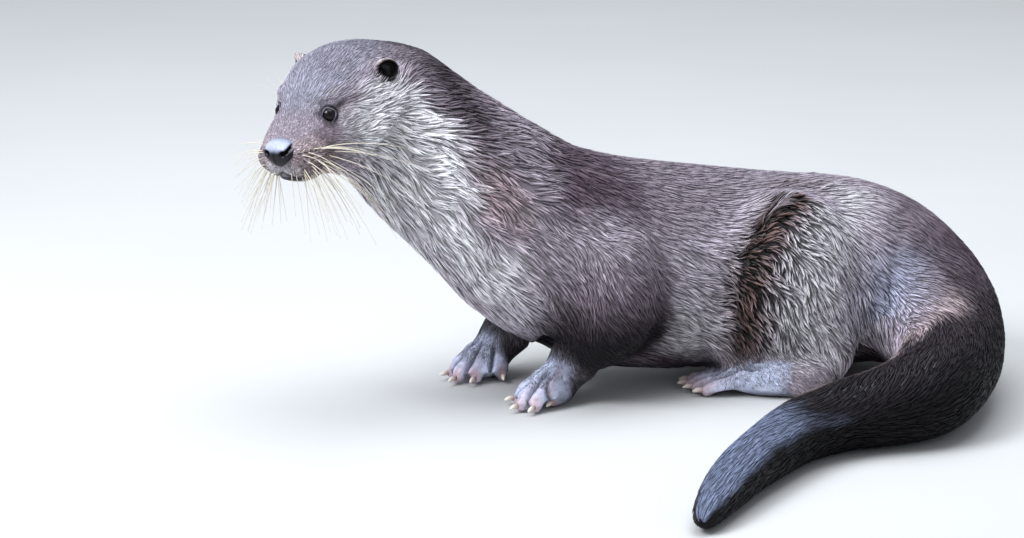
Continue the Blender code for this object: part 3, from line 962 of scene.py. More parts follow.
    def mouth(self, points: np.ndarray, surface: Surface) -> np.ndarray:
        """Presses the line of the lips and the groove under the nose in.

        Args:
            points: Places in metres, one per row.
            surface: The skin as it was before this step.

        Returns:
            The places after this step.
        """
        local = HEAD.local(points)
        away = self.lip_distance(local)
        ahead, side, up = local.T
        groove = bell(side, 0.0, 0.10) * smooth(-4.3, -4.6, up) * smooth(-5.3, -5.0, up) * (ahead > 8.4)
        pad = oval(local, self.pad, self.pad_radii)
        depth = 1.5 * bell(away, 0.0, 0.10) + 0.8 * groove - 0.5 * bell(away, 0.28, 0.16) * (ahead > 4.5)
        depth = depth + 1.8 * smooth(1.12, 0.80, pad)
        return points - surface.normals * (depth * MM)[:, None]

    def ears(self, points: np.ndarray, surface: Surface) -> np.ndarray:
        """Hollows the cup of each ear and thins its rim.

        Args:
            points: Places in metres, one per row.
            surface: The skin as it was before this step; not used.

        Returns:
            The places after this step.
        """
        for ear in EARS:
            local, away = ear.cup(points)
            near = (local[:, 0] > -0.9) & (local[:, 0] < 1.2)
            hollow = smooth(0.92, 0.60, away) * near
            rim = smooth(0.45, 0.95, away) * smooth(1.5, 1.25, away) * smooth(-0.25, 0.2, local[:, 0]) * near
            back = 3.6 * hollow + 3.4 * rim * smooth(-0.1, 0.9, ear.low_front(local))
            points = points - np.array(ear.axes().ahead) * (back * MM)[:, None]
        return points

    def toes(self, points: np.ndarray, surface: Surface) -> np.ndarray:
        """Sinks the webs between the toes and raises the knuckles.

        Args:
            points: Places in metres, one per row.
            surface: The skin as it was before this step.

        Returns:
            The places after this step.
        """
        for limb in LIMBS:
            aside, share = limb.lines(points)
            on = (limb.ahead(points) > 0) & (points[:, 2] > 1.5 * MM)
            upward = smooth(-0.1, 0.5, surface.normals[:, 2])
            between = limb.web(aside, share, 0.58)
            knuckle = bell(share, limb.knuckle, 0.07) * bell(aside[0], 0.0, 3.5 * MM)
            ridge = bell(aside[0], 0.0, 2.2 * MM) * smooth(0.15, 0.45, share)
            drop = (5.2 * between - 1.1 * knuckle - 0.7 * ridge) * MM * on * upward
            points[:, 2] = np.where(on, np.maximum(points[:, 2] - drop, 1.0 * MM), points[:, 2])
        return points

    def thighs(self, points: np.ndarray, surface: Surface) -> np.ndarray:
        """Rounds the front of each thigh over a crease, and folds its back in over the tail.

        Args:
            points: Places in metres, one per row.
            surface: The skin as it was before this step.

        Returns:
            The places after this step.
        """
        for thigh in THIGHS:
            ahead, share = thigh.before_edge(points)
            side = thigh.side_share(points, surface.normals)
            on = side * share * (1 - self.parts[Part.TAIL])
            crease = 3.8 * bell(ahead, 3.5 * MM, 6 * MM) - 2.8 * bell(ahead, -9 * MM, 8 * MM)
            fold = 2.2 * bell(thigh.behind_fold(points), 0.0, 4.5 * MM)
            points = points - surface.normals * ((crease * on + fold * side) * MM)[:, None]
        return points

    def lip_distance(self, local: np.ndarray) -> np.ndarray:
        """Height in centimetres of head points over the line of the lips, 9 away from the mouth.

        Args:
            local: Places in head centimetres, one per row.

        Returns:
            One number for each place.
        """
        turn = np.degrees(np.arctan2(np.abs(local[:, 1]), local[:, 0] - self.jaw_middle))
        angles, heights = (np.array(row) for row in zip(*self.lip))
        away = local[:, 2] - np.interp(turn, angles, heights)
        near = (turn < angles[-1]) & (local[:, 0] > 5.0) & (np.abs(away) < 1.5)
        return np.where(near, away, 9.0)


# ---------------------------------------------------------------- the lie of the coat


class Lie:
    """The lie of the coat and the map of the body, worked out on a coarse copy of the skin.

    The map has three measures: reach, the way over the skin from the nose in metres, ring, which is
    1 along the middle of the back and -1 along the middle of the belly, and right, which is 1 on the
    right side and -1 on the left.
    """

    def __init__(self, skin: Skin) -> None:
        """Makes the coarse copy and reads the whole map from it.

        Args:
            skin: The skin.
        """
        self.skin = skin
        self.coarse_obj = self.coarse_copy()
        self.coarse = Surface(self.coarse_obj)
        self.patches = self.unwrap()
        self.read_parts()
        reach = self.coarse.blur(self.walk(), 4)
        ring, right, forth = self.wrap(reach)
        flow = self.comb(reach, forth)
        bpy.data.objects.remove(self.coarse_obj)
        spot = self.coarse.locate(skin.surface.points)
        self.reach, self.ring, self.right = (self.coarse.sample(row, *spot) for row in (reach, ring, right))
        self.flow = along(self.coarse.sample(flow, *spot), skin.surface.normals)

    def read_parts(self) -> None:
        """Which corners of the copy are on trunk and tail, and where the coat hangs down."""
        surface, parts, points = self.skin.surface, self.skin.parts, self.coarse.points
        spot = surface.locate(points)
        torso = (Part.HEAD, Part.NECK, Part.TRUNK, Part.TAIL)
        self.core = sum(surface.sample(parts[part], *spot) for part in torso)
        self.tail = surface.sample(parts[Part.TAIL], *spot)
        before = np.max([smooth(-14 * MM, 2 * MM, thigh.before_edge(points)[0]) for thigh in THIGHS], axis=0)
        leg = surface.sample(parts[Part.HIND_LEG], *spot) * before
        self.trunk = surface.sample(parts[Part.TRUNK], *spot) + leg * smooth(0.02, 0.04, points[:, 2])
        hang = surface.sample(parts[Part.HIND_LEG] * 0.75 + parts[Part.FORELEG] * 0.40, *spot)
        self.hang = hang * (1 - before * (leg > 0))

    def coarse_copy(self) -> bpy.types.Object:
        """A copy of the skin with about an eighth of its triangles.

        Returns:
            The copy.
        """
        obj = new_object(self.skin.obj.data.copy(), "coarse")
        fewer = obj.modifiers.new("Fewer", "DECIMATE")
        fewer.ratio = COARSE_SHARE
        fewer.use_collapse_triangulate = True
        settle(obj)
        bm = bmesh.new()
        bm.from_mesh(obj.data)
        bmesh.ops.triangulate(bm, faces=bm.faces)
        bm.to_mesh(obj.data)
        bm.free()
        return obj

    def unwrap(self) -> np.ndarray:
        """Unwraps the coarse copy and returns the place of each triangle's corners on the map.

        Returns:
            Three places per triangle.
        """
        for other in bpy.context.selected_objects:
            other.select_set(False)
        self.coarse_obj.select_set(True)
        bpy.context.view_layer.objects.active = self.coarse_obj
        bpy.ops.object.mode_set(mode="EDIT")
        bpy.ops.mesh.select_all(action="SELECT")
        bpy.ops.uv.smart_project(angle_limit=math.radians(66), island_margin=0.002)
        bpy.ops.object.mode_set(mode="OBJECT")
        layer = self.coarse_obj.data.uv_layers.active
        return Surface.read(layer.uv, "vector", 2).reshape(-1, 3, 2)

    def walk(self) -> np.ndarray:
        """The length of the shortest way over the edges from the nose to every corner.

        Returns:
            Metres for each corner.
        """
        points = self.coarse.points
        start = int(np.argmin(np.linalg.norm(points - np.array(middle("nose")), axis=1)))
        starts = self.coarse.starts.tolist() + [len(self.coarse.others)]
        owner = np.repeat(np.arange(len(points)), self.coarse.degree.astype(int))
        others = self.coarse.others
        lengths = np.linalg.norm(points[owner] - points[others], axis=1).tolist()
        others = others.tolist()
        reach = [math.inf] * len(points)
        reach[start] = 0.0
        queue = [(0.0, start)]
        while queue:
            gone, here = heapq.heappop(queue)
            if gone > reach[here]:
                continue
            for step in range(starts[here], starts[here + 1]):
                total = gone + lengths[step]
                if total < reach[others[step]]:
                    reach[others[step]] = total
                    heapq.heappush(queue, (total, others[step]))
        found = np.array(reach)
        return np.where(np.isfinite(found), found, found[np.isfinite(found)].max())

    def comb(self, reach: np.ndarray, forth: np.ndarray) -> np.ndarray:
        """The direction in which the reach grows fastest, along the tail and drawn down by wet weight.

        Args:
            reach: The way from the nose to each corner, in metres.
            forth: The way the body runs at each corner.

        Returns:
            A direction for each corner.
        """
        surface = self.coarse
        owner = np.repeat(np.arange(len(reach)), surface.degree.astype(int))
        gap = surface.points[surface.others] - surface.points[owner]
        slope = (reach[surface.others] - reach[owner]) / np.maximum((gap * gap).sum(1), 1e-12)
        flow = unit(np.add.reduceat(gap * slope[:, None], surface.starts, axis=0))
        normals = surface.normals
        for _ in range(4):
            flow = along(surface.blur(flow, 4), normals)
        flow = flow + (forth - flow) * np.maximum(self.tail, 0.90 * self.trunk)[:, None]
        local = HEAD.local(surface.points)
        cheek = smooth(6.5, 3.0, local[:, 0]) * smooth(-0.6, -2.2, local[:, 2]) * smooth(0.16, 0.11, reach)
        body = smooth(0.12, 0.30, reach) * (1 - 0.6 * self.tail)
        flow = flow + np.array([0, 0, -1.0]) * (0.13 * body + self.hang)[:, None]
        flow = flow + np.array(-HEAD.ahead * 0.45 - HEAD.up * 0.40) * cheek[:, None]
        return surface.blur(along(flow, normals), 3)

    def wrap(self, reach: np.ndarray) -> tuple[np.ndarray, np.ndarray, np.ndarray]:
        """How near the back and the right side each corner is, and which way the body runs there.

        Args:
            reach: The way from the nose to each corner, in metres.

        Returns:
            Two shares and a direction for each corner.
        """
        band = 0.014
        marks = np.arange(0, reach.max(), band)
        core = self.core > 0.5
        centres = []
        for mark in marks:
            near = core & (np.abs(reach - mark) < band)
            if near.sum() > 3:
                box = self.coarse.points[near]
                centres.append((box.min(0) + box.max(0)) / 2)
            else:
                centres.append(centres[-1])
        line = np.array(centres)
        for _ in range(3):
            line[1:-1] = (line[:-2] + 2 * line[1:-1] + line[2:]) / 4
        ways = unit(np.gradient(line, axis=0))
        rise = unit(np.array([0, 0, 1.0]) - ways * ways[:, 2:3] + 1e-9)
        centre, back, forth = (np.stack([np.interp(reach, marks, rows[:, i]) for i in range(3)], axis=1)
                               for rows in (line, rise, ways))
        back, forth = unit(back), unit(forth)
        offset = self.coarse.points - centre
        offset = offset - forth * (offset * forth).sum(1, keepdims=True)
        offset = unit(offset)
        return (offset * back).sum(1), (offset * np.cross(forth, back)).sum(1), forth


# ---------------------------------------------------------------- markings


class Tint(Enum):
    """The colours of the animal, as a painter would name them, with two painted sheens; some also serve as
    painted shade.
    """

    TAUPE = (0.69, 0.64, 0.685)
    SLATE = (0.59, 0.58, 0.64)
    PEARL = (0.735, 0.74, 0.81)
    FROST = (0.74, 0.755, 0.845)
    SILVER = (0.945, 0.93, 0.945)
    SMOKE = (0.84, 0.805, 0.85)
    UMBER = (0.37, 0.30, 0.345)
    SOOT = (0.10, 0.07, 0.105)
    FAWN = (0.83, 0.765, 0.75)
    ROSE = (0.72, 0.635, 0.635)
    RUST = (0.62, 0.45, 0.34)
    CHESTNUT = (0.53, 0.395, 0.35)
    MAUVE = (0.53, 0.45, 0.50)
    BLACK = (0.035, 0.025, 0.035)
    PINK = (0.80, 0.66, 0.68)
    LAVENDER = (0.85, 0.88, 0.98)
    STEEL = (0.58, 0.63, 0.755)
    TAN = (0.745, 0.655, 0.64)


@dataclass(frozen=True)
class Mark:
    """A soft patch of one colour on the body map: reach in metres and ring from -1 to 1."""

    tint: Tint
    reach: Pair
    ring: Pair
    strength: float = 1.0
    soft: Pair = (0.04, 0.35)

    def share(self, reach: np.ndarray, ring: np.ndarray) -> np.ndarray:
        """How strongly the patch covers each place.

        Args:
            reach: Share of the way from the nose to the tip of the tail.
            ring: 1 along the back, -1 along the belly.

        Returns:
            One number for each place.
        """
        share = self.strength
        for (low, high), soft, values in ((self.reach, self.soft[0], reach), (self.ring, self.soft[1], ring)):
            share = share * smooth(low - soft, low + soft, values) * smooth(high + soft, high - soft, values)
        return share


@dataclass(frozen=True)
class FaceMark:
    """A soft oval of one colour on both sides of the head, in head centimetres."""

    tint: Tint
    centre: Triple
    radii: Triple
    strength: float = 1.0
    soft: float = 0.35

    def share(self, local: np.ndarray) -> np.ndarray:
        """How strongly the oval covers each place."""
        away = oval(folded(local), self.centre, self.radii)
        return self.strength * smooth(1 + self.soft, 1 - self.soft, away)


BODY_MARKS = (
    Mark(Tint.SMOKE, (0.38, 0.54), (0.70, 1.1), 0.25),
    Mark(Tint.SMOKE, (0.345, 0.47), (-0.85, 0.76), 0.88, (0.04, 0.20)),
    Mark(Tint.SMOKE, (0.245, 0.30), (-0.05, 0.42), 0.60, (0.03, 0.20)),
    Mark(Tint.SILVER, (0.36, 0.46), (-0.80, -0.20), 1.0, (0.03, 0.25)),
    Mark(Tint.UMBER, (0.53, 0.60), (0.62, 1.1), 0.76, (0.02, 0.25)),
    Mark(Tint.UMBER, (0.31, 0.42), (0.7, 1.1), 0.46),
    Mark(Tint.UMBER, (0.135, 0.315), (0.48, 1.1), 0.80, (0.03, 0.22)),
    Mark(Tint.SOOT, (0.140, 0.195), (0.65, 1.1), 0.70, (0.02, 0.20)),
    Mark(Tint.UMBER, (0.245, 0.300), (0.60, 1.1), 0.84, (0.03, 0.25)),
    Mark(Tint.SMOKE, (0.200, 0.240), (0.40, 1.0), 0.45, (0.02, 0.25)),
    Mark(Tint.SILVER, (0.085, 0.175), (-0.60, 0.16), 0.95, (0.030, 0.22)),
    Mark(Tint.SILVER, (0.080, 0.165), (-0.30, 0.58), 0.95, (0.020, 0.14)),
    Mark(Tint.SMOKE, (0.10, 0.30), (-1.1, -0.40), 0.95, (0.05, 0.25)),
    Mark(Tint.SILVER, (0.10, 0.235), (-0.85, -0.25), 0.90, (0.03, 0.25)),
    # Umber along the middle of the belly: painted shade under the body.
    Mark(Tint.UMBER, (0.34, 0.60), (-1.1, -0.85), 0.85, (0.05, 0.15)),
    Mark(Tint.CHESTNUT, (0.182, 0.225), (-0.05, 0.50), 0.48, (0.02, 0.20)),
)
FACE_MARKS = (
    FaceMark(Tint.SLATE, (2.5, 0.0, 1.5), (6.5, 3.4, 3.6), 0.9),
    FaceMark(Tint.PEARL, (5.2, 0.0, -0.2), (2.2, 1.9, 1.4), 0.30, 0.5),
    FaceMark(Tint.SILVER, (2.0, 4.3, -3.7), (3.5, 2.5, 2.8), 0.86, 0.4),
    FaceMark(Tint.MAUVE, (6.9, 0.0, -2.0), (2.2, 1.5, 1.4), 0.08, 0.4),
    FaceMark(Tint.ROSE, (7.9, 2.0, -4.3), (1.9, 1.7, 1.6), 0.85),
    FaceMark(Tint.MAUVE, (6.55, 2.4, -2.85), (1.15, 1.2, 0.62), 0.60, 0.45),
    FaceMark(Tint.UMBER, (3.9, 3.1, -1.1), (1.4, 1.0, 0.28), 0.60),
    FaceMark(Tint.SILVER, (9.1, 0.8, -4.9), (0.7, 1.0, 0.45), 0.45),
    FaceMark(Tint.RUST, (8.3, 1.9, -4.75), (0.50, 0.5, 0.38), 0.75),
    FaceMark(Tint.SMOKE, (7.5, 0.0, -6.4), (2.0, 2.0, 0.6), 0.8),
    FaceMark(Tint.SOOT, (8.7, 0.0, -5.75), (1.1, 1.7, 0.34), 0.85, 0.4),
)
# Darker fur down the forelegs, deepening towards the floor: the dark fur of the legs, with painted shade low
# down.
FORELEG_MARKS = (
    (Tint.UMBER, (0.14, 0.08), 0.8),
    (Tint.SOOT, (0.100, 0.055), 0.92),
    (Tint.BLACK, (0.090, 0.050), 0.75),
)


@dataclass(frozen=True)
class Locks:
    """The size of the tufts on one part of the body, in millimetres, and how far their lie strays."""

    length: float
    width: float
    lift: float
    stray: float = 0.22

    def row(self) -> np.ndarray:
        """The four sizes as a row."""
        return np.array([self.length, self.width, self.lift, self.stray])


LOCKS = {
    Part.HEAD: Locks(6.5, 1.15, 0.95, 0.20),
    Part.NECK: Locks(18.0, 3.1, 2.6, 0.34),
    Part.TRUNK: Locks(15.0, 2.4, 2.2, 0.20),
    Part.TAIL: Locks(17.0, 2.1, 1.6, 0.10),
    Part.FORELEG: Locks(12.0, 2.1, 2.0, 0.20),
    Part.HIND_LEG: Locks(15.0, 2.9, 3.3, 0.30),
    Part.PAW: Locks(4.0, 0.9, 0.4, 0.15),
    Part.FOOT: Locks(4.0, 0.9, 0.4, 0.15),
    Part.EAR: Locks(3.2, 0.7, 0.6, 0.15),
}
MUZZLE = Locks(2.0, 0.50, 0.40, 0.15)
CHEEK = Locks(14.0, 2.3, 2.1, 0.40)
SPIKES = Locks(10.5, 2.7, 5.0, 0.42)
CALM_CUT = (0.0, 0.15, 0.35, 0.45)
WRIST = (1.8, 1.5, 2.0, 1.0)
PAW_BACK = (0.8, 0.8, 0.7, 1.0)


@dataclass(frozen=True)
class Tuft:
    """One kind of tuft: its rings before the tip, its share of the cover, and its size."""

    name: str
    rings: int
    layers: float
    length: float = 1.0
    width: float = 1.0
    height: float = 0.30
    lift: float = 1.0
    # root_shade darkens a tuft towards its root, which is painted shade in the gaps between the locks;
    # tip_shade lightens its tip, partly painted highlight; shadow darkens this kind where the locks stand
    # apart, painted shade.
    root_shade: float = 0.42
    tip_shade: float = 1.20
    spread: float = 0.20
    clump: float = 0.20
    shadow: float = 0.0


UNDER = Tuft("under", 3, 0.80, 0.8, 1.15, 0.26, 0.50, 0.36, 0.80, 0.16, shadow=0.88)
LOCK = Tuft("lock", 4, 1.10, 1.0, 1.05, 0.30, 0.95, 0.32, 1.36, 0.24)
HAIR = Tuft("hair", 2, 0.42, 0.95, 0.38, 0.40, 1.15, 0.60, 1.70, 0.32, shadow=0.30)
# Painted root shade and tip highlight where the coat lies sleek.
CALM_ROOT, CALM_TIP = 0.72, 0.93


class Markings:
    """Colour and size of the coat at every corner of the skin."""

    def __init__(self, skin: Skin, lie: Lie) -> None:
        """Lays the marks on the skin in order.

        Args:
            skin: The skin.
            lie: The lie of the coat on it.
        """
        points, parts = skin.surface.points, skin.parts
        self.local = HEAD.local(points)
        self.head = np.clip(parts[Part.HEAD] + parts[Part.EAR], 0, 1)
        feet = smooth(0.15, 0.50, parts[Part.PAW] + parts[Part.FOOT])
        self.bare = near_toes(points, 4 * MM, 4 * MM) * feet * smooth(0.044, 0.034, points[:, 2])
        self.edge = np.minimum(*(socket.aside(points) for socket in sockets()))
        self.lip = skin.lip_distance(self.local)
        self.tint = self.paint(skin, lie)
        self.spiky = self.spikes(skin)
        self.calm = self.calmness(skin, lie)
        self.backs = self.paw_backs(skin)
        self.locks = self.size(skin)

    def paint(self, skin: Skin, lie: Lie) -> np.ndarray:
        """The colour of the coat and of bare skin, with painted shade and sheen, in linear light.

        Args:
            skin: The skin.
            lie: The lie of the coat on it.

        Returns:
            One colour per corner.
        """
        parts, points = skin.parts, skin.surface.points
        tint = np.tile(linear(Tint.TAUPE.value), (len(points), 1))

        def lay(colour: Tint, share: np.ndarray) -> None:
            """Covers the tint so far by a share of another."""
            nonlocal tint
            tint = blend(tint, linear(colour.value), np.clip(share, 0, 1))

        reach = lie.reach + 0.012 * ripple(points, 0.07, 3)
        ring = lie.ring + 0.10 * ripple(points, 0.05, 4)
        trunk = np.clip(1 - parts[Part.HIND_LEG] - parts[Part.FORELEG], 0, 1)
        for mark in BODY_MARKS:
            lay(mark.tint, mark.share(reach, ring) * trunk)
        self.tail(lay, reach, ring, lie.right + 0.14 * ripple(points, 0.03, 5), trunk)
        lay(Tint.SMOKE, parts[Part.HIND_LEG] * 0.95 * smooth(0.01, 0.05, points[:, 2]))
        self.thighs(lay, skin)
        # Forelegs darken towards the floor, partly painted shade.
        for colour, (high, low), strength in FORELEG_MARKS:
            lay(colour, parts[Part.FORELEG] * smooth(high, low, points[:, 2]) * strength)
        lay(Tint.BLACK, parts[Part.PAW] * (1 - self.bare) * 0.85)
        # Soot low on the trunk, near the floor, is painted shade under the belly.
        front = smooth(0.42, 0.36, reach)
        belly = smooth(0.050, 0.015, points[:, 2] - 0.022 * front)
        lay(Tint.SOOT, belly * parts[Part.TRUNK] * (0.8 + 0.15 * front))
        for mark in FACE_MARKS:
            lay(mark.tint, mark.share(self.local) * self.head)
        lay(Tint.SOOT, self.follicles())
        self.ears(lay, points)
        lay(Tint.LAVENDER, self.bare)
        lay(Tint.UMBER, self.bare * parts[Part.FOOT] * 0.10)
        self.toes(lay, points)
        mottle = 1 + self.bare * (0.14 * ripple(points, 6 * MM, 31) + 0.10 * ripple(points, 2.2 * MM, 32))
        tint = tint * mottle[:, None]
        lay(Tint.SOOT, bell(self.lip, 0, 0.11) * 0.95)
        lay(Tint.SOOT, smooth(1.42, 1.16, self.edge) * 0.85)
        lay(Tint.SOOT, self.eye_line(points))
        return tint

    def thighs(self, lay: Lay, skin: Skin) -> None:
        """Brown wet locks with painted shade in the crease along the front edge, silver behind them, and at
        the back a painted pale bluish sheen by the fold with painted shade in the fold.

        Args:
            lay: Covers the tint so far by a share of another.
            skin: The skin.
        """
        points = skin.surface.points
        for thigh in THIGHS:
            side = thigh.side_share(points, skin.surface.normals) * (1 - skin.parts[Part.TAIL])
            ahead, share = thigh.before_edge(points)
            pale = smooth(-14 * MM, -36 * MM, ahead) * smooth(-95 * MM, -60 * MM, ahead)
            lay(Tint.SILVER, pale * side * share * 0.75)
            lay(Tint.CHESTNUT, bell(ahead, -7 * MM, 17 * MM) * side * share * 0.92)
            # Black in the crease along the front edge: painted shade.
            lay(Tint.BLACK, bell(ahead, 1 * MM, 8 * MM) * side * share * 0.80)
            behind = thigh.behind_fold(points)
            # Painted pale bluish sheen by the fold, and painted shade in the fold itself.
            lay(Tint.FROST, bell(behind, -2 * MM, 21 * MM) * side * smooth(0.125, 0.095, points[:, 2]) * 0.90)
            lay(Tint.SOOT, bell(behind, -3 * MM, 3 * MM) * side * 0.4)

    def tail(self, lay: Lay, reach: np.ndarray, ring: np.ndarray, right: np.ndarray,
             trunk: np.ndarray) -> None:
        """Dark from the rump on, darker still on the lower side where that is painted shade, with a warm
        inner edge and a painted bluish sheen on top towards the end.

        Args:
            lay: Covers the tint so far by a share of another.
            reach: Reach on the body map, with a ripple.
            ring: Ring on the body map, with a ripple.
            right: How near the right side each place is, with a ripple.
            trunk: How much each place belongs to neither leg.
        """
        inner = smooth(0.20, 0.85, right) * smooth(-0.35, 0.10, ring) * smooth(1.0, 0.75, reach)
        inner = inner * (1 - smooth(0.65, 0.73, reach) * smooth(0.15, 0.60, ring))
        outer = 1 - inner
        lay(Tint.UMBER, smooth(0.565, 0.610, reach) * outer * trunk * 0.92)
        # Soot and black grow stronger towards the lower side: painted shade under the tail.
        lay(Tint.SOOT, smooth(0.565, 0.64, reach) * outer * trunk * (0.78 + 0.20 * smooth(0.9, 0.4, ring)))
        lay(Tint.BLACK, smooth(0.62, 0.72, reach) * outer * trunk * (0.70 + 0.28 * smooth(0.7, 0.2, ring)))
        lay(Tint.TAN, smooth(0.585, 0.65, reach) * inner * trunk * (0.90 - 0.25 * smooth(0.68, 0.76, reach)))
        # A painted bluish sheen on top of the tail towards its end.
        painted_sheen = smooth(0.765, 0.825, reach) * smooth(0.35, 0.75, ring)
        lay(Tint.STEEL, painted_sheen * outer * trunk * 0.64)

    def follicles(self, gap: float = 0.30, dot: float = 0.105) -> np.ndarray:
        """Rows of dark dots on the whisker pads, in head centimetres.

        Args:
            gap: Distance between the dots, in head centimetres.
            dot: Width of a dot.

        Returns:
            Two numbers per dot.
        """
        ahead, side, up = self.local[:, 0], np.abs(self.local[:, 1]), self.local[:, 2]
        row = np.round(up / gap)
        step = ahead / gap + 0.5 * (row % 2)
        away = np.hypot((step - np.round(step)) * gap, up - row * gap)
        pad = smooth(6.0, 6.6, ahead) * smooth(9.4, 9.0, ahead) * smooth(1.1, 1.5, side)
        return bell(away, 0, dot) * pad * smooth(-3.2, -3.7, up) * smooth(-5.9, -5.5, up) * self.head

    def eye_line(self, points: np.ndarray) -> np.ndarray:
        """The dark line that runs back and up from the outer corner of each eye.

        Args:
            points: Places in metres, one per row.

        Returns:
            One number for each place.
        """
        share = np.zeros(len(points))
        for socket in sockets():
            local = socket.axes().local(points) / socket.radius
            height = local[:, 2] - 0.28 * local[:, 1] - 0.25
            along = smooth(0.7, 1.2, local[:, 1]) * smooth(2.9, 1.8, local[:, 1]) * (local[:, 0] > -2.5)
            share = np.maximum(share, bell(height, 0.0, 0.27) * along)
        return share * 0.72

    def ears(self, lay: Lay, points: np.ndarray) -> None:
        """Black painted shade in the hollow of each cup, with a pale rim.

        Args:
            lay: Covers the tint so far by a share of another.
            points: Places in metres, one per row.
        """
        for ear in EARS:
            local, away = ear.cup(points)
            near = (np.abs(local[:, 0]) < 1.3) & (away < 1.5)
            lay(Tint.SMOKE, smooth(1.35, 1.05, away) * near * 0.6)
            lay(Tint.FAWN, bell(away, 1.06, 0.22) * smooth(-0.2, 0.2, local[:, 0]) * near)
            # Black in the cup, reaching further on its low front side: painted shade in the hollow.
            lay(Tint.BLACK, smooth(0.97, 0.84, away - 0.30 * smooth(0.0, 0.8, ear.low_front(local))) * near)

    def toes(self, lay: Lay, points: np.ndarray) -> None:
        """Painted shade in the webs between the toes and low on the soles near the floor, mauve toes and pink
        on their ends.

        Args:
            lay: Covers the tint so far by a share of another.
            points: Places in metres, one per row.
        """
        for limb in LIMBS:
            aside, share = limb.lines(points)
            on = self.bare * (limb.ahead(points) > 0)
            # Soot in the webs: painted shade between the toes.
            lay(Tint.SOOT, limb.web(aside, share) * on * 0.9)
            top = smooth(6.5 * MM, 2.0 * MM, aside[0])
            lay(Tint.MAUVE, smooth(0.50, 0.85, share) * top * on * 0.40)
            tips = smooth(18 * MM, 9 * MM, points[:, 2]) * on
            lay(Tint.PINK, smooth(0.80, 1.08, share) * top * tips * 0.75)
            # Soot low down near the floor: painted shade under the paw.
            lay(Tint.SOOT, smooth(9 * MM, 3 * MM, points[:, 2]) * smooth(0.7, 0.4, share) * on * 0.7)

    def size(self, skin: Skin) -> np.ndarray:
        """Length, width, lift and stray of the tufts, in metres and radians.

        Args:
            skin: The skin.

        Returns:
            Four numbers per corner.
        """
        head, paw = skin.parts[Part.HEAD], LOCKS[Part.PAW].row()
        ahead, side, up = self.local[:, 0], np.abs(self.local[:, 1]), self.local[:, 2]
        rows = sum(skin.parts[part][:, None] * LOCKS[part].row() for part in Part)
        cheek = smooth(4.6, 2.4, ahead) * smooth(0.4, -1.4, up) * head
        rows = blend(rows, CHEEK.row(), cheek * smooth(1.5, 3.0, side))
        rows = blend(rows, CHEEK.row(), smooth(5.0, 3.0, ahead) * smooth(-4.5, -6.0, up) * head)
        rows = blend(rows, SPIKES.row(), self.spiky)
        rows = rows * (1 - self.calm[:, None] * np.array(CALM_CUT))
        rows = blend(rows, paw * np.array(WRIST), near_toes(skin.surface.points, 22 * MM, 0.0))
        rows = blend(rows, paw * np.array(PAW_BACK), self.bare)
        muzzle = np.maximum(smooth(5.2, 7.6, ahead), smooth(2.6, 1.6, self.edge)) * head
        rows = blend(rows, MUZZLE.row(), muzzle)
        return rows * np.array([MM, MM, MM, 1.0])

    def chances(self, skin: Skin) -> dict[Tuft, np.ndarray]:
        """How much of each kind of tuft grows at each corner.

        Args:
            skin: The skin.

        Returns:
            One share per corner for each kind.
        """
        nose = oval(self.local, (9.1, 0, -3.57), (0.98, 1.2, 0.94))
        furred = np.maximum(smooth(0.6, 0.35, self.bare), self.backs)
        grows = furred * (self.edge > 1.22) * smooth(0.07, 0.15, np.abs(self.lip)) * (nose > 1.0)
        for ear in EARS:
            local, away = ear.cup(skin.surface.points)
            grows = grows * np.where(np.abs(local[:, 0]) < 1.3, smooth(0.92, 1.04, away), 1.0)
        short = smooth(9 * MM, 4 * MM, self.locks[:, 0])
        grows = grows * (1 - 0.35 * short)
        hair = grows * (1 - 0.5 * self.spiky) * (1 - 0.5 * self.calm)
        return {UNDER: grows, LOCK: grows * (1 - 0.15 * self.spiky), HAIR: hair}

    def paw_backs(self, skin: Skin) -> np.ndarray:
        """How much short fur grows on the backs of the paws, between the wrist and the ends of the toes.

        Args:
            skin: The skin.

        Returns:
            One number for each place.
        """
        points = skin.surface.points
        cover = np.zeros(len(points))
        for limb in LIMBS:
            aside, share = limb.lines(points)
            furred = (limb.ahead(points) > 0) * smooth(0.88, 0.70, share) * (1 - limb.web(aside, share))
            cover = np.maximum(cover, furred)
        return 0.9 * cover * smooth(-0.35, 0.2, skin.surface.normals[:, 2])

    def calmness(self, skin: Skin, lie: Lie) -> np.ndarray:
        """Where the coat lies sleek and even: on the back, the top of the head and the end of the tail.

        Args:
            skin: The skin.
            lie: The lie of the coat on it.

        Returns:
            One number for each place.
        """
        back = smooth(0.30, 0.80, lie.ring) * smooth(0.25, 0.33, lie.reach) * smooth(0.64, 0.56, lie.reach)
        crown = smooth(0.2, 0.8, lie.ring) * skin.parts[Part.HEAD]
        sheen = smooth(0.72, 0.80, lie.reach) * smooth(0.0, 0.5, lie.ring) * skin.parts[Part.TAIL]
        return np.clip(0.95 * back + 0.45 * crown + 0.85 * sheen, 0, 1) * (1 - self.spiky)

    def spikes(self, skin: Skin) -> np.ndarray:
        """Where the wet locks stand apart: a band behind the front edge of each thigh.

        Args:
            skin: The skin.

        Returns:
            One number for each place.
        """
        points, normals = skin.surface.points, skin.surface.normals
        share = np.zeros(len(points))
        for thigh in THIGHS:
            ahead, edge = thigh.before_edge(points)
            band = smooth(8 * MM, 0, ahead) * smooth(-76 * MM, -14 * MM, ahead)
            share = np.maximum(share, band * edge * thigh.side_share(points, normals))
        return share * (1 - skin.parts[Part.TAIL])


# ---------------------------------------------------------------- finishes


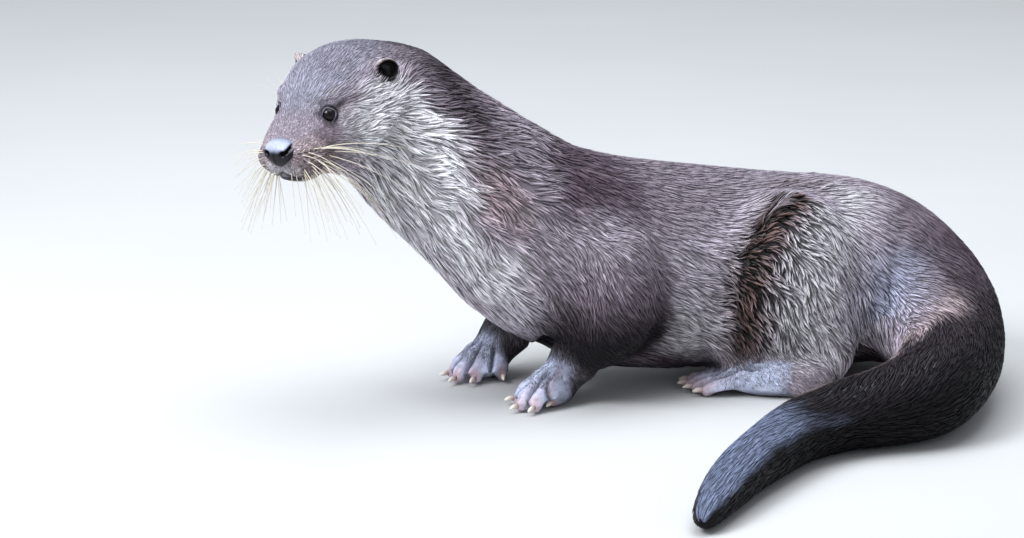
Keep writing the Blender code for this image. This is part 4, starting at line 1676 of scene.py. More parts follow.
@dataclass(frozen=True)
class Finish:
    """A shader that reads its colour from the piece's own attribute, with fine grain and bump."""

    name: str
    roughness: float
    sheen: float = 0.0
    coat: float = 0.0
    coat_roughness: float = 0.18
    bump: float = 0.0
    bump_height: float = 0.3
    grain: float = 900.0
    shade: float = 0.25
    specular: float = 0.5
    pebbles: bool = False

    def material(self) -> bpy.types.Material:
        """Builds the node tree.

        Returns:
            The material.
        """
        made = bpy.data.materials.new(self.name)
        made.use_nodes = True
        nodes, links = made.node_tree.nodes, made.node_tree.links
        shader = nodes["Principled BSDF"]
        plain = {"Roughness": self.roughness, "Specular IOR Level": self.specular, "Sheen Weight": self.sheen,
                 "Sheen Roughness": 0.35, "Sheen Tint": (0.80, 0.86, 1.0, 1.0), "Coat Weight": self.coat,
                 "Coat Roughness": self.coat_roughness}
        for socket, value in plain.items():
            shader.inputs[socket].default_value = value
        tint = nodes.new("ShaderNodeAttribute")
        tint.attribute_name = TINT
        place = nodes.new("ShaderNodeTexCoord")
        grain, height = self.grain_node(nodes)
        links.new(place.outputs["Object"], grain.inputs["Vector"])
        span = nodes.new("ShaderNodeMapRange")
        span.inputs["To Min"].default_value = 1 - self.shade
        span.inputs["To Max"].default_value = 1 + self.shade
        links.new(height, span.inputs["Value"])
        vary = nodes.new("ShaderNodeVectorMath")
        vary.operation = "SCALE"
        links.new(tint.outputs["Color"], vary.inputs[0])
        links.new(span.outputs["Result"], vary.inputs["Scale"])
        links.new(vary.outputs["Vector"], shader.inputs["Base Color"])
        if self.bump:
            bump = nodes.new("ShaderNodeBump")
            bump.inputs["Strength"].default_value = self.bump
            bump.inputs["Distance"].default_value = self.bump_height * MM
            links.new(height, bump.inputs["Height"])
            links.new(bump.outputs["Normal"], shader.inputs["Normal"])
        return made

    def grain_node(self, nodes: bpy.types.Nodes) -> tuple[bpy.types.Node, bpy.types.NodeSocket]:
        """The pattern of the surface, pebbles or soft grain, and the socket with its height.

        Args:
            nodes: The nodes of the material.

        Returns:
            The node, and its socket.
        """
        if self.pebbles:
            grain = nodes.new("ShaderNodeTexVoronoi")
            grain.feature = "SMOOTH_F1"
            grain.inputs["Smoothness"].default_value = 0.4
            height = grain.outputs["Distance"]
        else:
            grain = nodes.new("ShaderNodeTexNoise")
            grain.inputs["Detail"].default_value = 3.0
            height = grain.outputs["Fac"]
        grain.inputs["Scale"].default_value = self.grain
        return grain, height


SKIN_FINISH = Finish("damp_skin", 0.46, coat=0.22, specular=0.3, bump=1.0, bump_height=0.45, grain=1100.0,
                     shade=0.30)
FUR_FINISH = Finish("damp_fur", 0.42, specular=0.20, coat=0.02, coat_roughness=0.25, grain=700.0, shade=0.22)
FACE_FINISH = Finish("face_fur", 0.46, specular=0.30, sheen=0.04, grain=900.0, shade=0.22)
EYE_FINISH = Finish("wet_eye", 0.30, coat=0.55, coat_roughness=0.06, specular=0.0, grain=600.0, shade=0.15)
LID_FINISH = Finish("wet_lid", 0.34, coat=0.6, coat_roughness=0.12, bump=0.5, grain=1800.0, shade=0.2)
NOSE_FINISH = Finish("wet_nose", 0.45, specular=0.15, coat=0.25, coat_roughness=0.14, bump=0.8,
                     bump_height=0.35, grain=1500.0, shade=0.28, pebbles=True)
# Matt black for the nostrils: painted shade.
NOSTRIL_SHADE_FINISH = Finish("nostril_painted_shade", 0.95, specular=0.05, grain=1500.0, shade=0.2)
CLAW_FINISH = Finish("horn_claw", 0.32, coat=0.35, bump=0.35, grain=500.0, shade=0.18)
WHISKER_FINISH = Finish("whisker", 0.38, coat=0.2, grain=400.0, shade=0.12)


def write_tint(mesh: bpy.types.Mesh, tint: np.ndarray) -> None:
    """Stores a linear colour for every corner.

    Args:
        mesh: The mesh to colour.
        tint: One linear colour per corner.
    """
    layer = mesh.attributes.new(TINT, "FLOAT_COLOR", "POINT")
    rows = np.concatenate([np.clip(tint, 0, 1), np.ones((len(tint), 1))], axis=1)
    layer.data.foreach_set("color", rows.astype(np.float32).ravel())


# ---------------------------------------------------------------- coat


@dataclass
class Coat:
    """All the tufts of fur."""

    skin: Skin
    lie: Lie
    marks: Markings
    patch: float = 0.003
    most: int = 190_000
    cover: float = 0.55
    cell: float = 6 * MM

    def roots(self, kind: Tuft, chance: np.ndarray, seed: int) -> tuple[np.ndarray, np.ndarray]:
        """Picks the faces and the places of the tufts, evenly for their size.

        Args:
            kind: The kind of tuft.
            chance: How much of this kind grows at each corner, from 0 to 1.
            seed: Start of the random draws.

        Returns:
            The face of each root and the shares of its corners.
        """
        rng = np.random.default_rng(seed)
        surface = self.skin.surface
        corners = surface.points[surface.faces]
        first, second = corners[:, 1] - corners[:, 0], corners[:, 2] - corners[:, 0]
        area = np.linalg.norm(np.cross(first, second), axis=1) / 2
        locks = self.marks.locks[surface.faces].mean(axis=1)
        cover = self.cover * locks[:, 0] * kind.length * locks[:, 1] * kind.width
        wanted = area * kind.layers / cover * chance[surface.faces].mean(axis=1)
        cells = np.floor(corners.mean(axis=1) / self.cell).astype(int)
        order = np.lexsort((cells[:, 0], cells[:, 1], cells[:, 2]))
        total = np.cumsum(wanted[order])
        ticks = np.arange(int(total[-1])) + rng.random(int(total[-1]))
        face = order[np.minimum(np.searchsorted(total, ticks), len(order) - 1)]
        a, b = rng.random(len(face)), rng.random(len(face))
        over = a + b > 1
        a, b = np.where(over, 1 - a, a), np.where(over, 1 - b, b)
        return face, np.stack([1 - a - b, a, b], axis=1)

    def grow(self, kind: Tuft, chance: np.ndarray, seed: int) -> "Tufts":
        """Lays every tuft of one kind over the skin, step by step along the lie of the coat.

        Args:
            kind: The kind of tuft.
            chance: How much of this kind grows at each corner, from 0 to 1.
            seed: Start of the random draws.

        Returns:
            The tufts, with their size, lie and colour.
        """
        surface, lie = self.skin.surface, self.lie
        face, shares = self.roots(kind, chance, seed)
        rng = np.random.default_rng(seed + 1)
        count = len(face)
        size = surface.sample(self.marks.locks, face, shares)
        length = size[:, 0] * kind.length * rng.uniform(0.75, 1.25, count)
        width = size[:, 1] * kind.width * rng.uniform(0.75, 1.25, count)
        lift = size[:, 2] * kind.lift * rng.uniform(0.75, 1.15, count)
        place = surface.sample(surface.points, face, shares)
        tint = surface.sample(self.marks.tint, face, shares)
        roots, start = (face, shares), place
        swing = size[:, 3] * (ripple(place, 0.028, 11) + 0.35 * rng.normal(size=count))
        curl = size[:, 3] * 0.8 * ripple(place, 0.016, 12)
        rings = []
        way = None
        step = (length / kind.rings)[:, None]
        for ring in range(kind.rings + 1):
            t = ring / kind.rings
            normal = unit(surface.sample(surface.normals, face, shares))
            flow = along(surface.sample(lie.flow, face, shares), normal)
            turn = (swing + curl * (t - 0.4))[:, None]
            flow = flow * np.cos(turn) + np.cross(normal, flow) * np.sin(turn)
            way = along(flow if way is None else unit(0.5 * way + 0.5 * flow), normal)
            rise = (lift * (0.9 * t ** 0.8 - 0.12))[:, None]
            rings.append((place + normal * rise, normal, way, t))
            if ring < kind.rings:
                face, place = surface.nearest(place + way * step)
                shares = surface.shares(face, place)
        contrast, calm = (surface.sample(row, *roots) for row in (self.marks.spiky, self.marks.calm))
        spread = kind.spread * (1 + 1.5 * smooth(3.5 * MM, 2.2 * MM, size[:, 0])) * (1 - 0.6 * calm)
        clump = kind.clump * ripple(start, 9 * MM, 21) * (1 - 0.6 * calm)
        tint = tint * np.exp(spread * rng.normal(size=count).clip(-2, 2) + clump)[:, None]
        # Painted shade on the tufts of this kind where the locks stand apart.
        tint = tint * (1 - kind.shadow * contrast)[:, None]
        return Tufts(kind, rings, width, tint, contrast, calm, *roots)

    def pieces(self, tufts: "Tufts", name: str, dress: dict[str, bpy.types.Material]) -> None:
        """Writes the tufts as joined meshes, in order from the nose, each small enough.

        Args:
            tufts: All the tufts of one kind.
            name: Start of the names of the pieces.
            dress: The material of each slot.
        """
        surface = self.skin.surface
        reach = surface.sample(self.lie.reach, tufts.face, tufts.shares)
        face = surface.sample(self.marks.head, tufts.face, tufts.shares) > 0.5
        each = len(tufts.corner_rows())
        where = self.bake_places(tufts)
        for slot, chosen in (("face_coat", face), ("coat", ~face)):
            order = np.flatnonzero(chosen)
            order = order[np.argsort(reach[order], kind="stable")]
            parts = math.ceil(len(order) * each / self.most)
            for number, rows in enumerate(np.array_split(order, parts), start=1):
                mesh = tufts.mesh(rows, where[rows], self.patch, f"{slot}_{name}_{number}")
                finish_piece(new_object(mesh, mesh.name), dress[slot], slot)

    def bake_places(self, tufts: "Tufts") -> np.ndarray:
        """The place of each tuft's root on the unwrapped skin.

        Args:
            tufts: The tufts.

        Returns:
            Two shares per tuft.
        """
        surface = self.skin.surface
        face, shares = self.lie.coarse.locate(surface.sample(surface.points, tufts.face, tufts.shares))
        return np.einsum("nk,nkc->nc", shares, self.lie.patches[face])


class Tufts:
    """Closed spindles of three sides: rings of left, ridge and right corners, and a tip."""

    def __init__(self, kind: Tuft, rings: list, width: np.ndarray, tint: np.ndarray, contrast: np.ndarray,
                 calm: np.ndarray, face: np.ndarray, shares: np.ndarray) -> None:
        """Works out the corners and their colours.

        Args:
            kind: The kind of tuft.
            rings: Middle, normal, direction and share of the length of every tuft, ring by ring.
            width: Width of each tuft in metres.
            tint: Colour of each tuft in linear light.
            contrast: How much deeper the painted shade at its root is against its tip, from 0 to 1.
            calm: How sleek and even it is, from 0 to 1.
            face: The face of the skin that it grows on.
            shares: How much each corner of that face counts at its root.
        """
        self.kind, self.face, self.shares = kind, face, shares
        corners, shades, across = [], [], []
        # Painted shade at the root, deepest where the locks stand apart, and painted highlight at the tip.
        root, tip = kind.root_shade * (1 - 0.75 * contrast), kind.tip_shade * (1 + 0.35 * contrast)
        root, tip = root + (CALM_ROOT - root) * 0.9 * calm, tip + (CALM_TIP - tip) * 0.9 * calm
        for centre, normal, way, t in rings[:-1]:
            side = unit(np.cross(way, normal))
            belly = 0.62 + 0.38 * math.sin(math.pi * min(1.0, t * 1.35))
            half = (width * 0.5 * belly * (1 - t) ** 0.45)[:, None]
            ridge = centre + normal * half * 2 * kind.height * (1 - 0.45 * calm[:, None])
            corners += [centre - side * half, ridge, centre + side * half]
            shade = root + (tip - root) * t ** (0.8 + 0.9 * contrast)
            # The side corners are darker than the ridge: painted shade across each tuft.
            side_shade = shade * (0.70 + 0.25 * calm)
            shades += [side_shade, shade, side_shade]
            across += [(0.0, t), (0.5, t), (1.0, t)]
        corners.append(rings[-1][0])
        shades.append(tip)
        across.append((0.5, 1.0))
        self.corners = np.stack(corners, axis=1)
        self.corners[:, :, 2] = np.maximum(self.corners[:, :, 2], 0.3 * MM)
        self.tint = tint[:, None, :] * np.array(shades).T[:, :, None]
        self.across = np.array(across)

    def corner_rows(self) -> np.ndarray:
        """The triangles of one tuft, facing outwards.

        Returns:
            Three corners per triangle.
        """
        rows = [(0, 2, 1)]
        for ring in range(self.kind.rings - 1):
            for a, b in ((0, 1), (1, 2), (2, 0)):
                low_a, low_b = 3 * ring + a, 3 * ring + b
                rows += [(low_a, low_b, low_b + 3), (low_a, low_b + 3, low_a + 3)]
        last = 3 * (self.kind.rings - 1)
        rows += [(last + a, last + b, last + 3) for a, b in ((0, 1), (1, 2), (2, 0))]
        return np.array(rows)

    def mesh(self, rows: np.ndarray, where: np.ndarray, patch: float, name: str) -> bpy.types.Mesh:
        """One joined mesh of the chosen tufts.

        Args:
            rows: The numbers of the chosen tufts.
            where: The place of each root on the unwrapped skin.
            patch: Size of a tuft's patch there.
            name: Name of the mesh.

        Returns:
            The mesh, with its colours and its bake map.
        """
        each = self.corners.shape[1]
        corners = self.corners[rows].reshape(-1, 3)
        pattern = self.corner_rows()
        faces = (np.arange(len(rows))[:, None, None] * each + pattern[None]).reshape(-1)
        mesh = bpy.data.meshes.new(name)
        mesh.vertices.add(len(corners))
        mesh.vertices.foreach_set("co", corners.astype(np.float32).ravel())
        mesh.loops.add(len(faces))
        mesh.loops.foreach_set("vertex_index", faces.astype(np.int32))
        mesh.polygons.add(len(faces) // 3)
        mesh.polygons.foreach_set("loop_start", np.arange(0, len(faces), 3, dtype=np.int32))
        mesh.update(calc_edges=True)
        write_tint(mesh, self.tint[rows].reshape(-1, 3))
        layer = mesh.uv_layers.new(name=BAKE_MAP)
        spread = (self.across[pattern.ravel()] - 0.5) * patch
        places = np.clip(where[:, None, :] + spread[None], 0, 1)
        layer.uv.foreach_set("vector", places.astype(np.float32).ravel())
        return mesh


# ---------------------------------------------------------------- eyes, nose, claws and whiskers


@dataclass
class Eyes:
    """The two wet eyeballs: dark brown, with a black pupil and a clear bulge in front."""

    bulge: float = 0.30 * MM
    pupil: float = math.radians(19)
    iris: float = math.radians(42)
    brown: Colour = (0.085, 0.055, 0.05)
    black: Colour = (0.03, 0.025, 0.03)

    def build(self) -> None:
        """Makes and dresses both eyes."""
        material = EYE_FINISH.material()
        for socket in sockets():
            bm = bmesh.new()
            bmesh.ops.create_uvsphere(bm, u_segments=48, v_segments=32, radius=socket.radius - 0.05 * MM)
            gaze = socket.axes().ahead
            bmesh.ops.rotate(bm, verts=bm.verts, cent=(0, 0, 0), matrix=facing(gaze))
            angles = []
            for vert in bm.verts:
                angle = vert.co.angle(gaze)
                vert.co += vert.co.normalized() * self.bulge * math.exp(-((angle / self.iris) ** 2))
                angles.append(angle)
            bmesh.ops.translate(bm, verts=bm.verts, vec=socket.centre)
            mesh = mesh_of(bm, f"eyeball_{socket.name}")
            write_tint(mesh, self.tints(np.array(angles)))
            finish_piece(new_object(mesh, mesh.name), material, "eye", f"eye_{socket.name}")

    def tints(self, angles: np.ndarray) -> np.ndarray:
        """Black pupil, dark brown iris and black rim, by the angle from the gaze.

        Args:
            angles: Angle of each corner from the gaze, in radians.

        Returns:
            One colour per corner.
        """
        share = smooth(self.pupil, self.pupil * 1.15, angles)
        share = share * smooth(self.iris * 1.08, self.iris * 0.90, angles)
        return blend(linear(self.black), linear(self.brown), share)


@dataclass
class Lids:
    """The wet edges of the lids: a closed cord of skin round each opening."""

    rings: int = 64
    sides: int = 10
    thick: float = 0.46 * MM
    edge: float = 1.03
    stand: float = 0.30 * MM
    fade: float = 0.10
    pale: Colour = (0.40, 0.38, 0.44)
    dark: Colour = (0.10, 0.08, 0.10)

    def build(self) -> None:
        """Makes and dresses the cord round each eye."""
        material = LID_FINISH.material()
        for socket in sockets():
            bm = bmesh.new()
            line = [self.around(socket, turn * 2 * math.pi / self.rings) for turn in range(self.rings)]
            loops = []
            for number, centre in enumerate(line):
                way = (line[(number + 1) % self.rings] - line[number - 1]).normalized()
                loops.append(ring_of(bm, self.sides, self.thick, centre, facing(way)))
            self.join(bm, loops, socket)
            mesh = mesh_of(bm, f"lid_edge_{socket.name}")
            write_tint(mesh, self.tints(socket, corners_of(mesh)))
            finish_piece(new_object(mesh, mesh.name), material, "face_coat")

    def around(self, socket: Socket, turn: float) -> Vector:
        """A place on the edge of the opening, at a turn round the gaze.

        Args:
            socket: The place of the eye.
            turn: Turn round the gaze, in radians.

        Returns:
            A place in metres.
        """
        power = socket.roundness
        reach = self.edge / (abs(math.cos(turn)) ** power + abs(math.sin(turn)) ** power) ** (1 / power)
        across = reach * math.cos(turn) * socket.half_width
        height = reach * math.sin(turn) * socket.half_height
        axes = socket.axes()
        way = axes.ahead + axes.left * math.tan(across) + axes.up * math.tan(height)
        return socket.centre + way.normalized() * (socket.radius + self.stand)

    def join(self, bm: bmesh.types.BMesh, loops: list[list[bmesh.types.BMVert]], socket: Socket) -> None:
        """Bridges each ring to the next, matching the corners by their turn.

        Args:
            bm: The mesh in the making.
            loops: The corners of each ring, from the outer to the inner.
            socket: The place of the eye.
        """
        centre = socket.centre
        for verts in loops:
            middle_point = sum((vert.co for vert in verts), Vector()) / len(verts)
            out = (middle_point - centre).normalized()
            start = max(range(len(verts)), key=lambda number: (verts[number].co - middle_point).dot(out))
            verts[:] = verts[start:] + verts[:start]
        edges = [ring_edges(verts) for verts in loops]
        for number in range(len(loops)):
            pair = edges[number - 1] + edges[number]
            bmesh.ops.bridge_loops(bm, edges=pair)
        bmesh.ops.recalc_face_normals(bm, faces=bm.faces)

    def tints(self, socket: Socket, points: np.ndarray) -> np.ndarray:
        """Lavender grey, lightest on the inner side of the cord and dark on the outer side."""
        edge, _ = socket.opening(points)
        return blend(linear(self.dark), linear(self.pale), smooth(self.edge + self.fade, self.edge, edge))


@dataclass
class Nose:
    """The bare nose pad, with comma nostrils and a groove down its middle, in head centimetres."""

    centre: Triple = (9.0, 0.0, -3.57)
    radii: Triple = (0.90, 1.30, 1.04)
    blob: Pair = (0.74, -3.42)
    tail: Pair = (1.16, -2.95)
    sink: float = 0.30
    wall: float = 0.10 * MM
    base: Colour = (0.05, 0.035, 0.075)
    # The pale top is a painted wet reflection.
    top: Colour = (0.56, 0.575, 0.65)
    # Black of the nostrils: painted shade.
    black: Colour = (0.02, 0.015, 0.02)

    def build(self) -> None:
        """Makes and dresses the pad."""
        bm = bmesh.new()
        bmesh.ops.create_uvsphere(bm, u_segments=96, v_segments=64, radius=1.0)
        rows = np.array([vert.co[:] for vert in bm.verts])
        local = self.shape(rows)
        depth = self.nostrils(local)
        inward = unit(local - np.array(self.centre)) * np.array((1.0, 0.6, 0.6))
        sunk = local - inward * (depth * self.sink)[:, None]
        for vert, place in zip(bm.verts, sunk):
            vert.co = HEAD.at(*place)
        bmesh.ops.recalc_face_normals(bm, faces=bm.faces)
        mesh = mesh_of(bm, "nose_pad")
        write_tint(mesh, self.tints(local, depth))
        finish_piece(new_object(mesh, mesh.name), NOSE_FINISH.material(), "nose_pad", "nose")
        # A matt black shell in the nostrils: painted shade.
        shade_shell = self.shade_shell(mesh, depth)
        write_tint(shade_shell, np.tile(linear(Tint.BLACK.value), (len(shade_shell.vertices), 1)))
        finish_piece(new_object(shade_shell, shade_shell.name), NOSTRIL_SHADE_FINISH.material(), "nose_pad")

    def shade_shell(self, pad: bpy.types.Mesh, depth: np.ndarray) -> bpy.types.Mesh:
        """A thin matt shell over the inside of both nostrils, dressed black as painted shade.

        Args:
            pad: The nose pad.
            depth: How deep in a nostril each corner lies.

        Returns:
            The shell.
        """
        bm = bmesh.new()
        bm.from_mesh(pad)
        bm.normal_update()
        outside = [vert for vert in bm.verts if depth[vert.index] < 0.30]
        bmesh.ops.delete(bm, geom=outside, context="VERTS")
        loose = [vert for vert in bm.verts if not vert.link_faces]
        bmesh.ops.delete(bm, geom=loose, context="VERTS")
        for vert, normal in [(vert, vert.normal.copy()) for vert in bm.verts]:
            vert.co += normal * 0.06 * MM
        bmesh.ops.solidify(bm, geom=bm.faces[:], thickness=self.wall)
        bmesh.ops.recalc_face_normals(bm, faces=bm.faces)
        return mesh_of(bm, "nostrils")

    def shape(self, rows: np.ndarray) -> np.ndarray:
        """A ball drawn out to the pad: wide and flat above, narrowing to a point below.

        Args:
            rows: Corners of a ball of radius 1.

        Returns:
            Their places in head centimetres.
        """
        power = 2.5
        size = (np.abs(rows) ** power).sum(axis=1) ** (1 / power)
        local = rows / size[:, None]
        low = np.clip(-local[:, 2], 0, 1)
        high = np.clip(local[:, 2], 0, 1)
        local[:, 1] *= 1 - 0.52 * low ** 1.4 - 0.10 * high ** 3
        local[:, 2] -= 0.10 * np.clip(1 - np.abs(local[:, 1]) / 0.35, 0, 1) * low
        local = local * np.array(self.radii) + np.array(self.centre)
        local[:, 0] -= 0.30 * high ** 2 + 0.12 * low ** 2
        groove = bell(local[:, 1], 0, 0.07) * smooth(-3.0, -3.5, local[:, 2]) * (local[:, 0] > 9.0)
        wings = bell(np.abs(local[:, 1]), 0.98, 0.28) * bell(local[:, 2], -3.25, 0.42) * (local[:, 0] > 8.8)
        local[:, 0] += 0.10 * wings - 0.10 * groove
        return local

    def nostrils(self, local: np.ndarray) -> np.ndarray:
        """How deep each place lies in a nostril: a round blob with a tail that rises outward.

        Args:
            local: Places in head centimetres, one per row.

        Returns:
            One number for each place.
        """
        side = np.stack([np.abs(local[:, 1]), local[:, 2]], axis=1)
        blob = oval(side, self.blob, (0.30, 0.26))
        start, end = np.array(self.blob), np.array(self.tail)
        span = end - start
        share = np.clip((side - start) @ span / (span @ span), 0, 1.15)
        bend = np.array((0.10, -0.06))
        line = share[:, None] * span + bend * np.sin(math.pi * share)[:, None]
        tail = np.linalg.norm(side - start - line, axis=1) / (0.24 - 0.13 * share)
        front = (local[:, 0] > self.centre[0] - 0.15)
        return np.maximum(smooth(1.15, 0.55, blob), smooth(1.3, 0.5, tail) * (share < 1.1)) * front

    def tints(self, local: np.ndarray, depth: np.ndarray) -> np.ndarray:
        """Dark slate, with a painted wet reflection on top that brightens towards the front, black painted
        shade in the nostrils and a dark line down the groove.

        Args:
            local: Places in head centimetres, one per row.
            depth: How deep in a nostril each corner lies.

        Returns:
            One colour per corner.
        """
        # The pale top, brighter towards the front: painted wet reflection.
        top = linear(self.top) * (0.50 + 0.95 * smooth(8.6, 9.5, local[:, 0]))[:, None]
        tint = blend(linear(self.base), top, smooth(-3.45, -3.0, local[:, 2]))
        groove = bell(local[:, 1], 0, 0.06) * smooth(-3.2, -3.6, local[:, 2]) * 0.8
        # Black deep in the nostrils, painted shade, and a dark line down the groove.
        return blend(tint, linear(self.black), np.maximum(smooth(0.08, 0.45, depth), groove))


@dataclass
class Claws:
    """Short thick claws: a curved cone of horn on every toe."""

    length: float = 8.0 * MM
    thick: float = 1.95 * MM
    deep: float = 2.2 * MM
    rings: int = 8
    sides: int = 12
    drop: float = 2.6 * MM
    root: Colour = (0.66, 0.55, 0.54)
    tip: Colour = (0.95, 0.91, 0.85)

    def build(self) -> None:
        """Makes one piece for each foot."""
        material = CLAW_FINISH.material()
        for limb in LIMBS:
            bm = bmesh.new()
            for centre, way in zip(*limb.ends()):
                self.grow(bm, Vector(centre), Vector((way[0], way[1], 0)).normalized())
            bmesh.ops.recalc_face_normals(bm, faces=bm.faces)
            mesh = mesh_of(bm, "claws_" + limb.node)
            write_tint(mesh, self.tints(limb, corners_of(mesh)))
            finish_piece(new_object(mesh, mesh.name), material, "claw", *limb.claws())

    def grow(self, bm: bmesh.types.BMesh, centre: Vector, way: Vector) -> None:
        """One claw: rings that shrink along a downward curve, bridged and closed by a blunt tip.

        Args:
            bm: The mesh in the making.
            centre: The middle of the claw.
            way: The level direction of the claw.
        """
        loops = []
        for number in range(self.rings):
            t = number / (self.rings - 1)
            size = max((1 - t ** 2.8) ** 0.6, 0.34)
            rise = Vector((0, 0, 0.9 * MM - self.drop * (t - 0.25) ** 2))
            place = centre + way * self.length * (t - 0.5) + rise
            slope = -2 * self.drop * (t - 0.25) / self.length
            lead = Vector((way.x, way.y, slope)).normalized()
            side = lead.cross(Vector((0, 0, 1))).normalized()
            turn = Matrix((side * self.thick * size, side.cross(lead) * self.deep * size, lead)).transposed()
            loops.append(ring_of(bm, self.sides, 1.0, place, turn))
        close_tube(bm, loops)

    def tints(self, limb: Limb, points: np.ndarray) -> np.ndarray:
        """Ivory, darker towards the root.

        Args:
            limb: The paw or foot.
            points: Places in metres, one per row.

        Returns:
            One colour per corner.
        """
        start, centres = limb.fan(), limb.ends()[0]
        ends = np.array([np.linalg.norm(centre - start) for centre in centres])
        nearest = np.array([np.linalg.norm(points - centre, axis=1) for centre in centres]).argmin(axis=0)
        past = np.linalg.norm((points - start)[:, :2], axis=1) - ends[nearest]
        return blend(linear(self.root), linear(self.tip), smooth(-4.5 * MM, 3 * MM, past))


@dataclass
class Whiskers:
    """Long stiff hairs on the muzzle, in rows, and a few over the eyes."""

    thick: float = 0.41 * MM
    rings: int = 11
    sides: int = 5
    rows: int = 5
    each: int = 7
    front: float = -0.314
    seed: int = 77
    brows: int = 4
    lips: int = 9
    tint: Colour = (0.84, 0.80, 0.72)

    def build(self) -> None:
        """Makes all the whiskers as one piece."""
        bm = bmesh.new()
        rng = np.random.default_rng(self.seed)
        for side in (1, -1):
            for row in range(self.rows):
                for number in range(self.each - (row in (0, self.rows - 1))):
                    self.muzzle(bm, side, row, number, rng)
            for number in range(self.brows):
                self.brow(bm, side, number, rng)
            for number in range(self.lips):
                self.chin(bm, side, number, rng)
        bmesh.ops.recalc_face_normals(bm, faces=bm.faces)
        mesh = mesh_of(bm, "whiskers")
        write_tint(mesh, np.tile(linear(self.tint), (len(mesh.vertices), 1)))
        finish_piece(new_object(mesh, mesh.name), WHISKER_FINISH.material(), "whisker")

    def muzzle(self, bm: bmesh.types.BMesh, side: int, row: int, number: int,
               rng: np.random.Generator) -> None:
        """One whisker of the muzzle: the rear ones longer and lying further back.

        Args:
            bm: The mesh in the making.
            side: 1 on the left and -1 on the right.
            row: Row of the pad, counted from above.
            number: Its number, counted from the front.
            rng: Source of the random draws.
        """
        back = number / (self.each - 1)
        start = HEAD.at(8.75 - 1.75 * back + 0.10 * rng.normal(), side * (1.45 + 0.75 * back),
                        -3.75 - 0.38 * row + 0.10 * rng.normal())
        length = (5.2 + 3.8 * back) * rng.uniform(0.75, 1.15) * (1 - 0.08 * abs(row - 2))
        way = HEAD.way(0.40 - 0.95 * back + 0.14 * rng.normal(), side * (0.80 - 0.15 * back),
                       0.10 - 0.30 * row + 0.12 * rng.normal())
        room = (start.x - self.front) / max(-way.x, 0.05) / CM
        self.hair(bm, start, way, min(length, 0.92 * room) * CM, 0.45 + 0.45 * rng.random())

    def chin(self, bm: bmesh.types.BMesh, side: int, number: int, rng: np.random.Generator) -> None:
        """One whisker of the lip, which hangs down in front of the chin.

        Args:
            bm: The mesh in the making.
            side: 1 on the left and -1 on the right.
            number: Its number, counted from the front.
            rng: Source of the random draws.
        """
        back = number / (self.lips - 1)
        start = HEAD.at(9.15 - 2.4 * back, side * (0.75 + 1.5 * back), -5.05 - 0.55 * back)
        way = HEAD.way(0.34 - 0.62 * back + 0.20 * rng.normal(), side * (0.38 + 0.20 * rng.normal()), -0.95)
        self.hair(bm, start, way, (3.4 + 2.4 * rng.random()) * CM, 0.25 + 0.25 * rng.random(), 0.90)

    def brow(self, bm: bmesh.types.BMesh, side: int, number: int, rng: np.random.Generator) -> None:
        """One whisker over the eye.

        Args:
            bm: The mesh in the making.
            side: 1 on the left and -1 on the right.
            number: Its number, counted from the front.
            rng: Source of the random draws.
        """
        start = HEAD.at(5.4 - 0.45 * number, side * 2.08, -0.62 - 0.06 * number)
        way = HEAD.way(0.25 - 0.3 * number, side * (0.55 + 0.1 * rng.random()), 0.62)
        self.hair(bm, start, way, (1.6 + 0.5 * rng.random()) * CM, 0.25, 0.55)

    def hair(self, bm: bmesh.types.BMesh, start: Vector, way: Vector, length: float, droop: float,
             size: float = 1.0) -> None:
        """A thin cone of rings along a line that bends down under its own weight.

        Args:
            bm: The mesh in the making.
            start: Where it leaves the skin.
            way: Its first direction.
            length: Its length in metres.
            droop: How far it bends down.
            size: Its thickness, as a share of the common one.
        """
        loops = []
        place = start - way * 1.2 * MM
        for number in range(self.rings):
            t = number / (self.rings - 1)
            radius = self.thick * size * (1 - 0.78 * t)
            loops.append(ring_of(bm, self.sides, radius, place, facing(way)))
            way = (way + Vector((0, 0, -droop / self.rings))).normalized()
            place = place + way * length / (self.rings - 1)
        close_tube(bm, loops)


# ---------------------------------------------------------------- studio


@dataclass(frozen=True)
class Lamp:
    """A square soft light: where it hangs, what it faces, its size, its power and its colour."""

    name: str
    place: Triple
    aim: Triple
    size: float
    power: float
    colour: Colour

    def build(self) -> None:
        """Hangs the light."""
        lamp = bpy.data.lights.new(self.name, "AREA")
        lamp.size = self.size
        lamp.energy = self.power
        lamp.color = self.colour
        obj = bpy.data.objects.new(self.name, lamp)
        bpy.context.scene.collection.objects.link(obj)
        obj.location = self.place
        obj.rotation_euler = (Vector(self.aim) - Vector(self.place)).to_track_quat("-Z", "Y").to_euler()


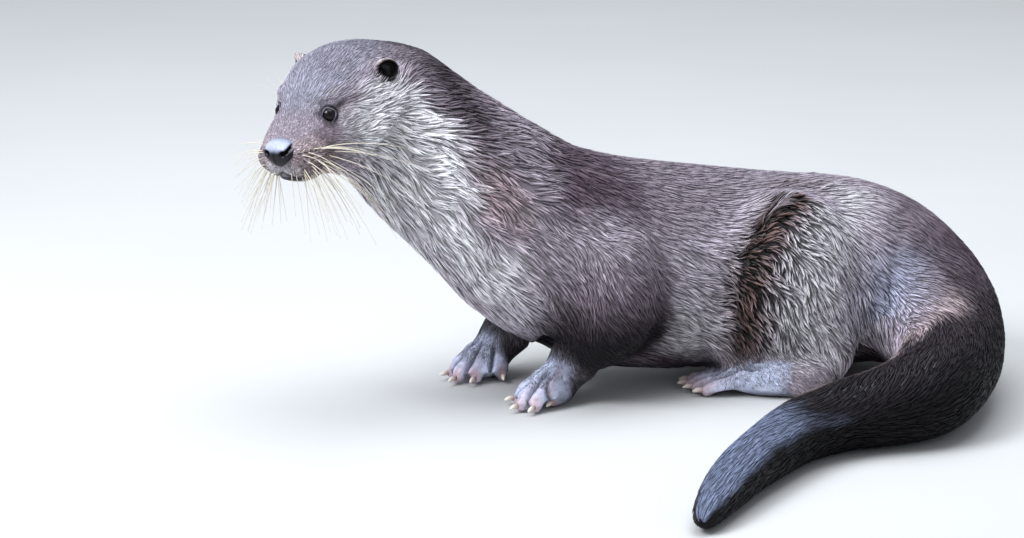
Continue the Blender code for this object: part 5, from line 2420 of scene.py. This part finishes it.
@dataclass
class Studio:
    """Plain pale floor, soft light from above and the camera."""

    floor: float = 12.0
    target: Vector = field(default_factory=lambda: Vector((-0.0977, 0.1021, 0.0955)))
    height: float = math.radians(15)
    distance: float = 3.0
    lens: float = 135.0
    sensor: float = 36.0
    sky: Colour = (0.86, 0.91, 1.0)
    sky_strength: float = 0.58
    pale: tuple[Colour, Colour] = ((0.52, 0.52, 0.51), (0.57, 0.57, 0.56))
    lamps: tuple[Lamp, ...] = (
        Lamp("overhead", (0.10, 0.30, 1.9), (0.0, 0.10, 0.1), 1.7, 38.0, (0.90, 0.94, 1.0)),
        Lamp("front", (-1.35, -1.10, 1.75), (-0.1, 0.0, 0.12), 1.3, 10.0, (0.94, 0.96, 1.0)),
        Lamp("catch", (-1.42, -0.72, 1.72), (-0.25, 0.02, 0.24), 1.05, 47.0, (0.88, 0.93, 1.0)),
    )

    def build(self) -> None:
        """Sets up everything round the animal."""
        scene = bpy.context.scene
        scene.view_settings.view_transform = "Standard"
        bm = bmesh.new()
        bmesh.ops.create_grid(bm, x_segments=1, y_segments=1, size=self.floor / 2)
        floor = new_object(mesh_of(bm, "floor"), "floor")
        made = bpy.data.materials.new("pale_floor")
        made.use_nodes = True
        nodes, links = made.node_tree.nodes, made.node_tree.links
        place = nodes.new("ShaderNodeTexCoord")
        noise = nodes.new("ShaderNodeTexNoise")
        noise.inputs["Scale"].default_value = 3.0
        span = nodes.new("ShaderNodeMix")
        span.data_type = "RGBA"
        span.inputs["A"].default_value = (*self.pale[0], 1)
        span.inputs["B"].default_value = (*self.pale[1], 1)
        links.new(place.outputs["Object"], noise.inputs["Vector"])
        links.new(noise.outputs["Fac"], span.inputs["Factor"])
        shader = nodes["Principled BSDF"]
        links.new(span.outputs["Result"], shader.inputs["Base Color"])
        shader.inputs["Roughness"].default_value = 0.7
        floor.data.materials.append(made)
        for lamp in self.lamps:
            lamp.build()
        world = bpy.data.worlds.new("studio")
        world.use_nodes = True
        sky = world.node_tree.nodes["Background"]
        sky.inputs["Color"].default_value = (*self.sky, 1.0)
        sky.inputs["Strength"].default_value = self.sky_strength
        scene.world = world
        self.camera()

    def camera(self) -> None:
        """A long lens a little above the animal, square to its trunk."""
        lens = bpy.data.cameras.new("camera")
        lens.lens = self.lens
        lens.sensor_width = self.sensor
        camera = bpy.data.objects.new("camera", lens)
        bpy.context.scene.collection.objects.link(camera)
        back = Vector((0, -math.cos(self.height), math.sin(self.height)))
        camera.location = self.target + back * self.distance
        camera.rotation_euler = (-back).to_track_quat("-Z", "Y").to_euler()
        bpy.context.scene.camera = camera


def main() -> None:
    """Builds the model in order."""
    logging.basicConfig(level=logging.INFO, format="%(message)s")
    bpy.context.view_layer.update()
    Studio().build()
    skin = Skin()
    skin.build()
    lie = Lie(skin)
    marks = Markings(skin, lie)
    # The furred skin is darkened, most under the standing locks of the thighs: painted shade under the coat.
    painted_shade_under_fur = (0.42 + 0.58 * marks.bare) * (1 - 0.95 * marks.spiky)
    write_tint(skin.obj.data, marks.tint * painted_shade_under_fur[:, None])
    finish_piece(skin.obj, SKIN_FINISH.material(), "coat", *FLESH)
    coat = Coat(skin, lie, marks)
    dress = {"face_coat": FACE_FINISH.material(), "coat": FUR_FINISH.material()}
    for number, (kind, chance) in enumerate(marks.chances(skin).items()):
        tufts = coat.grow(kind, chance, FIRST_SEED + 10 * number)
        count = len(tufts.face)
        LOG.info("%s: %d tufts, %d triangles", kind.name, count, count * len(tufts.corner_rows()))
        coat.pieces(tufts, kind.name, dress)
    for piece in (Eyes(), Lids(), Nose(), Claws(), Whiskers()):
        piece.build()


if __name__ == "__main__":
    main()
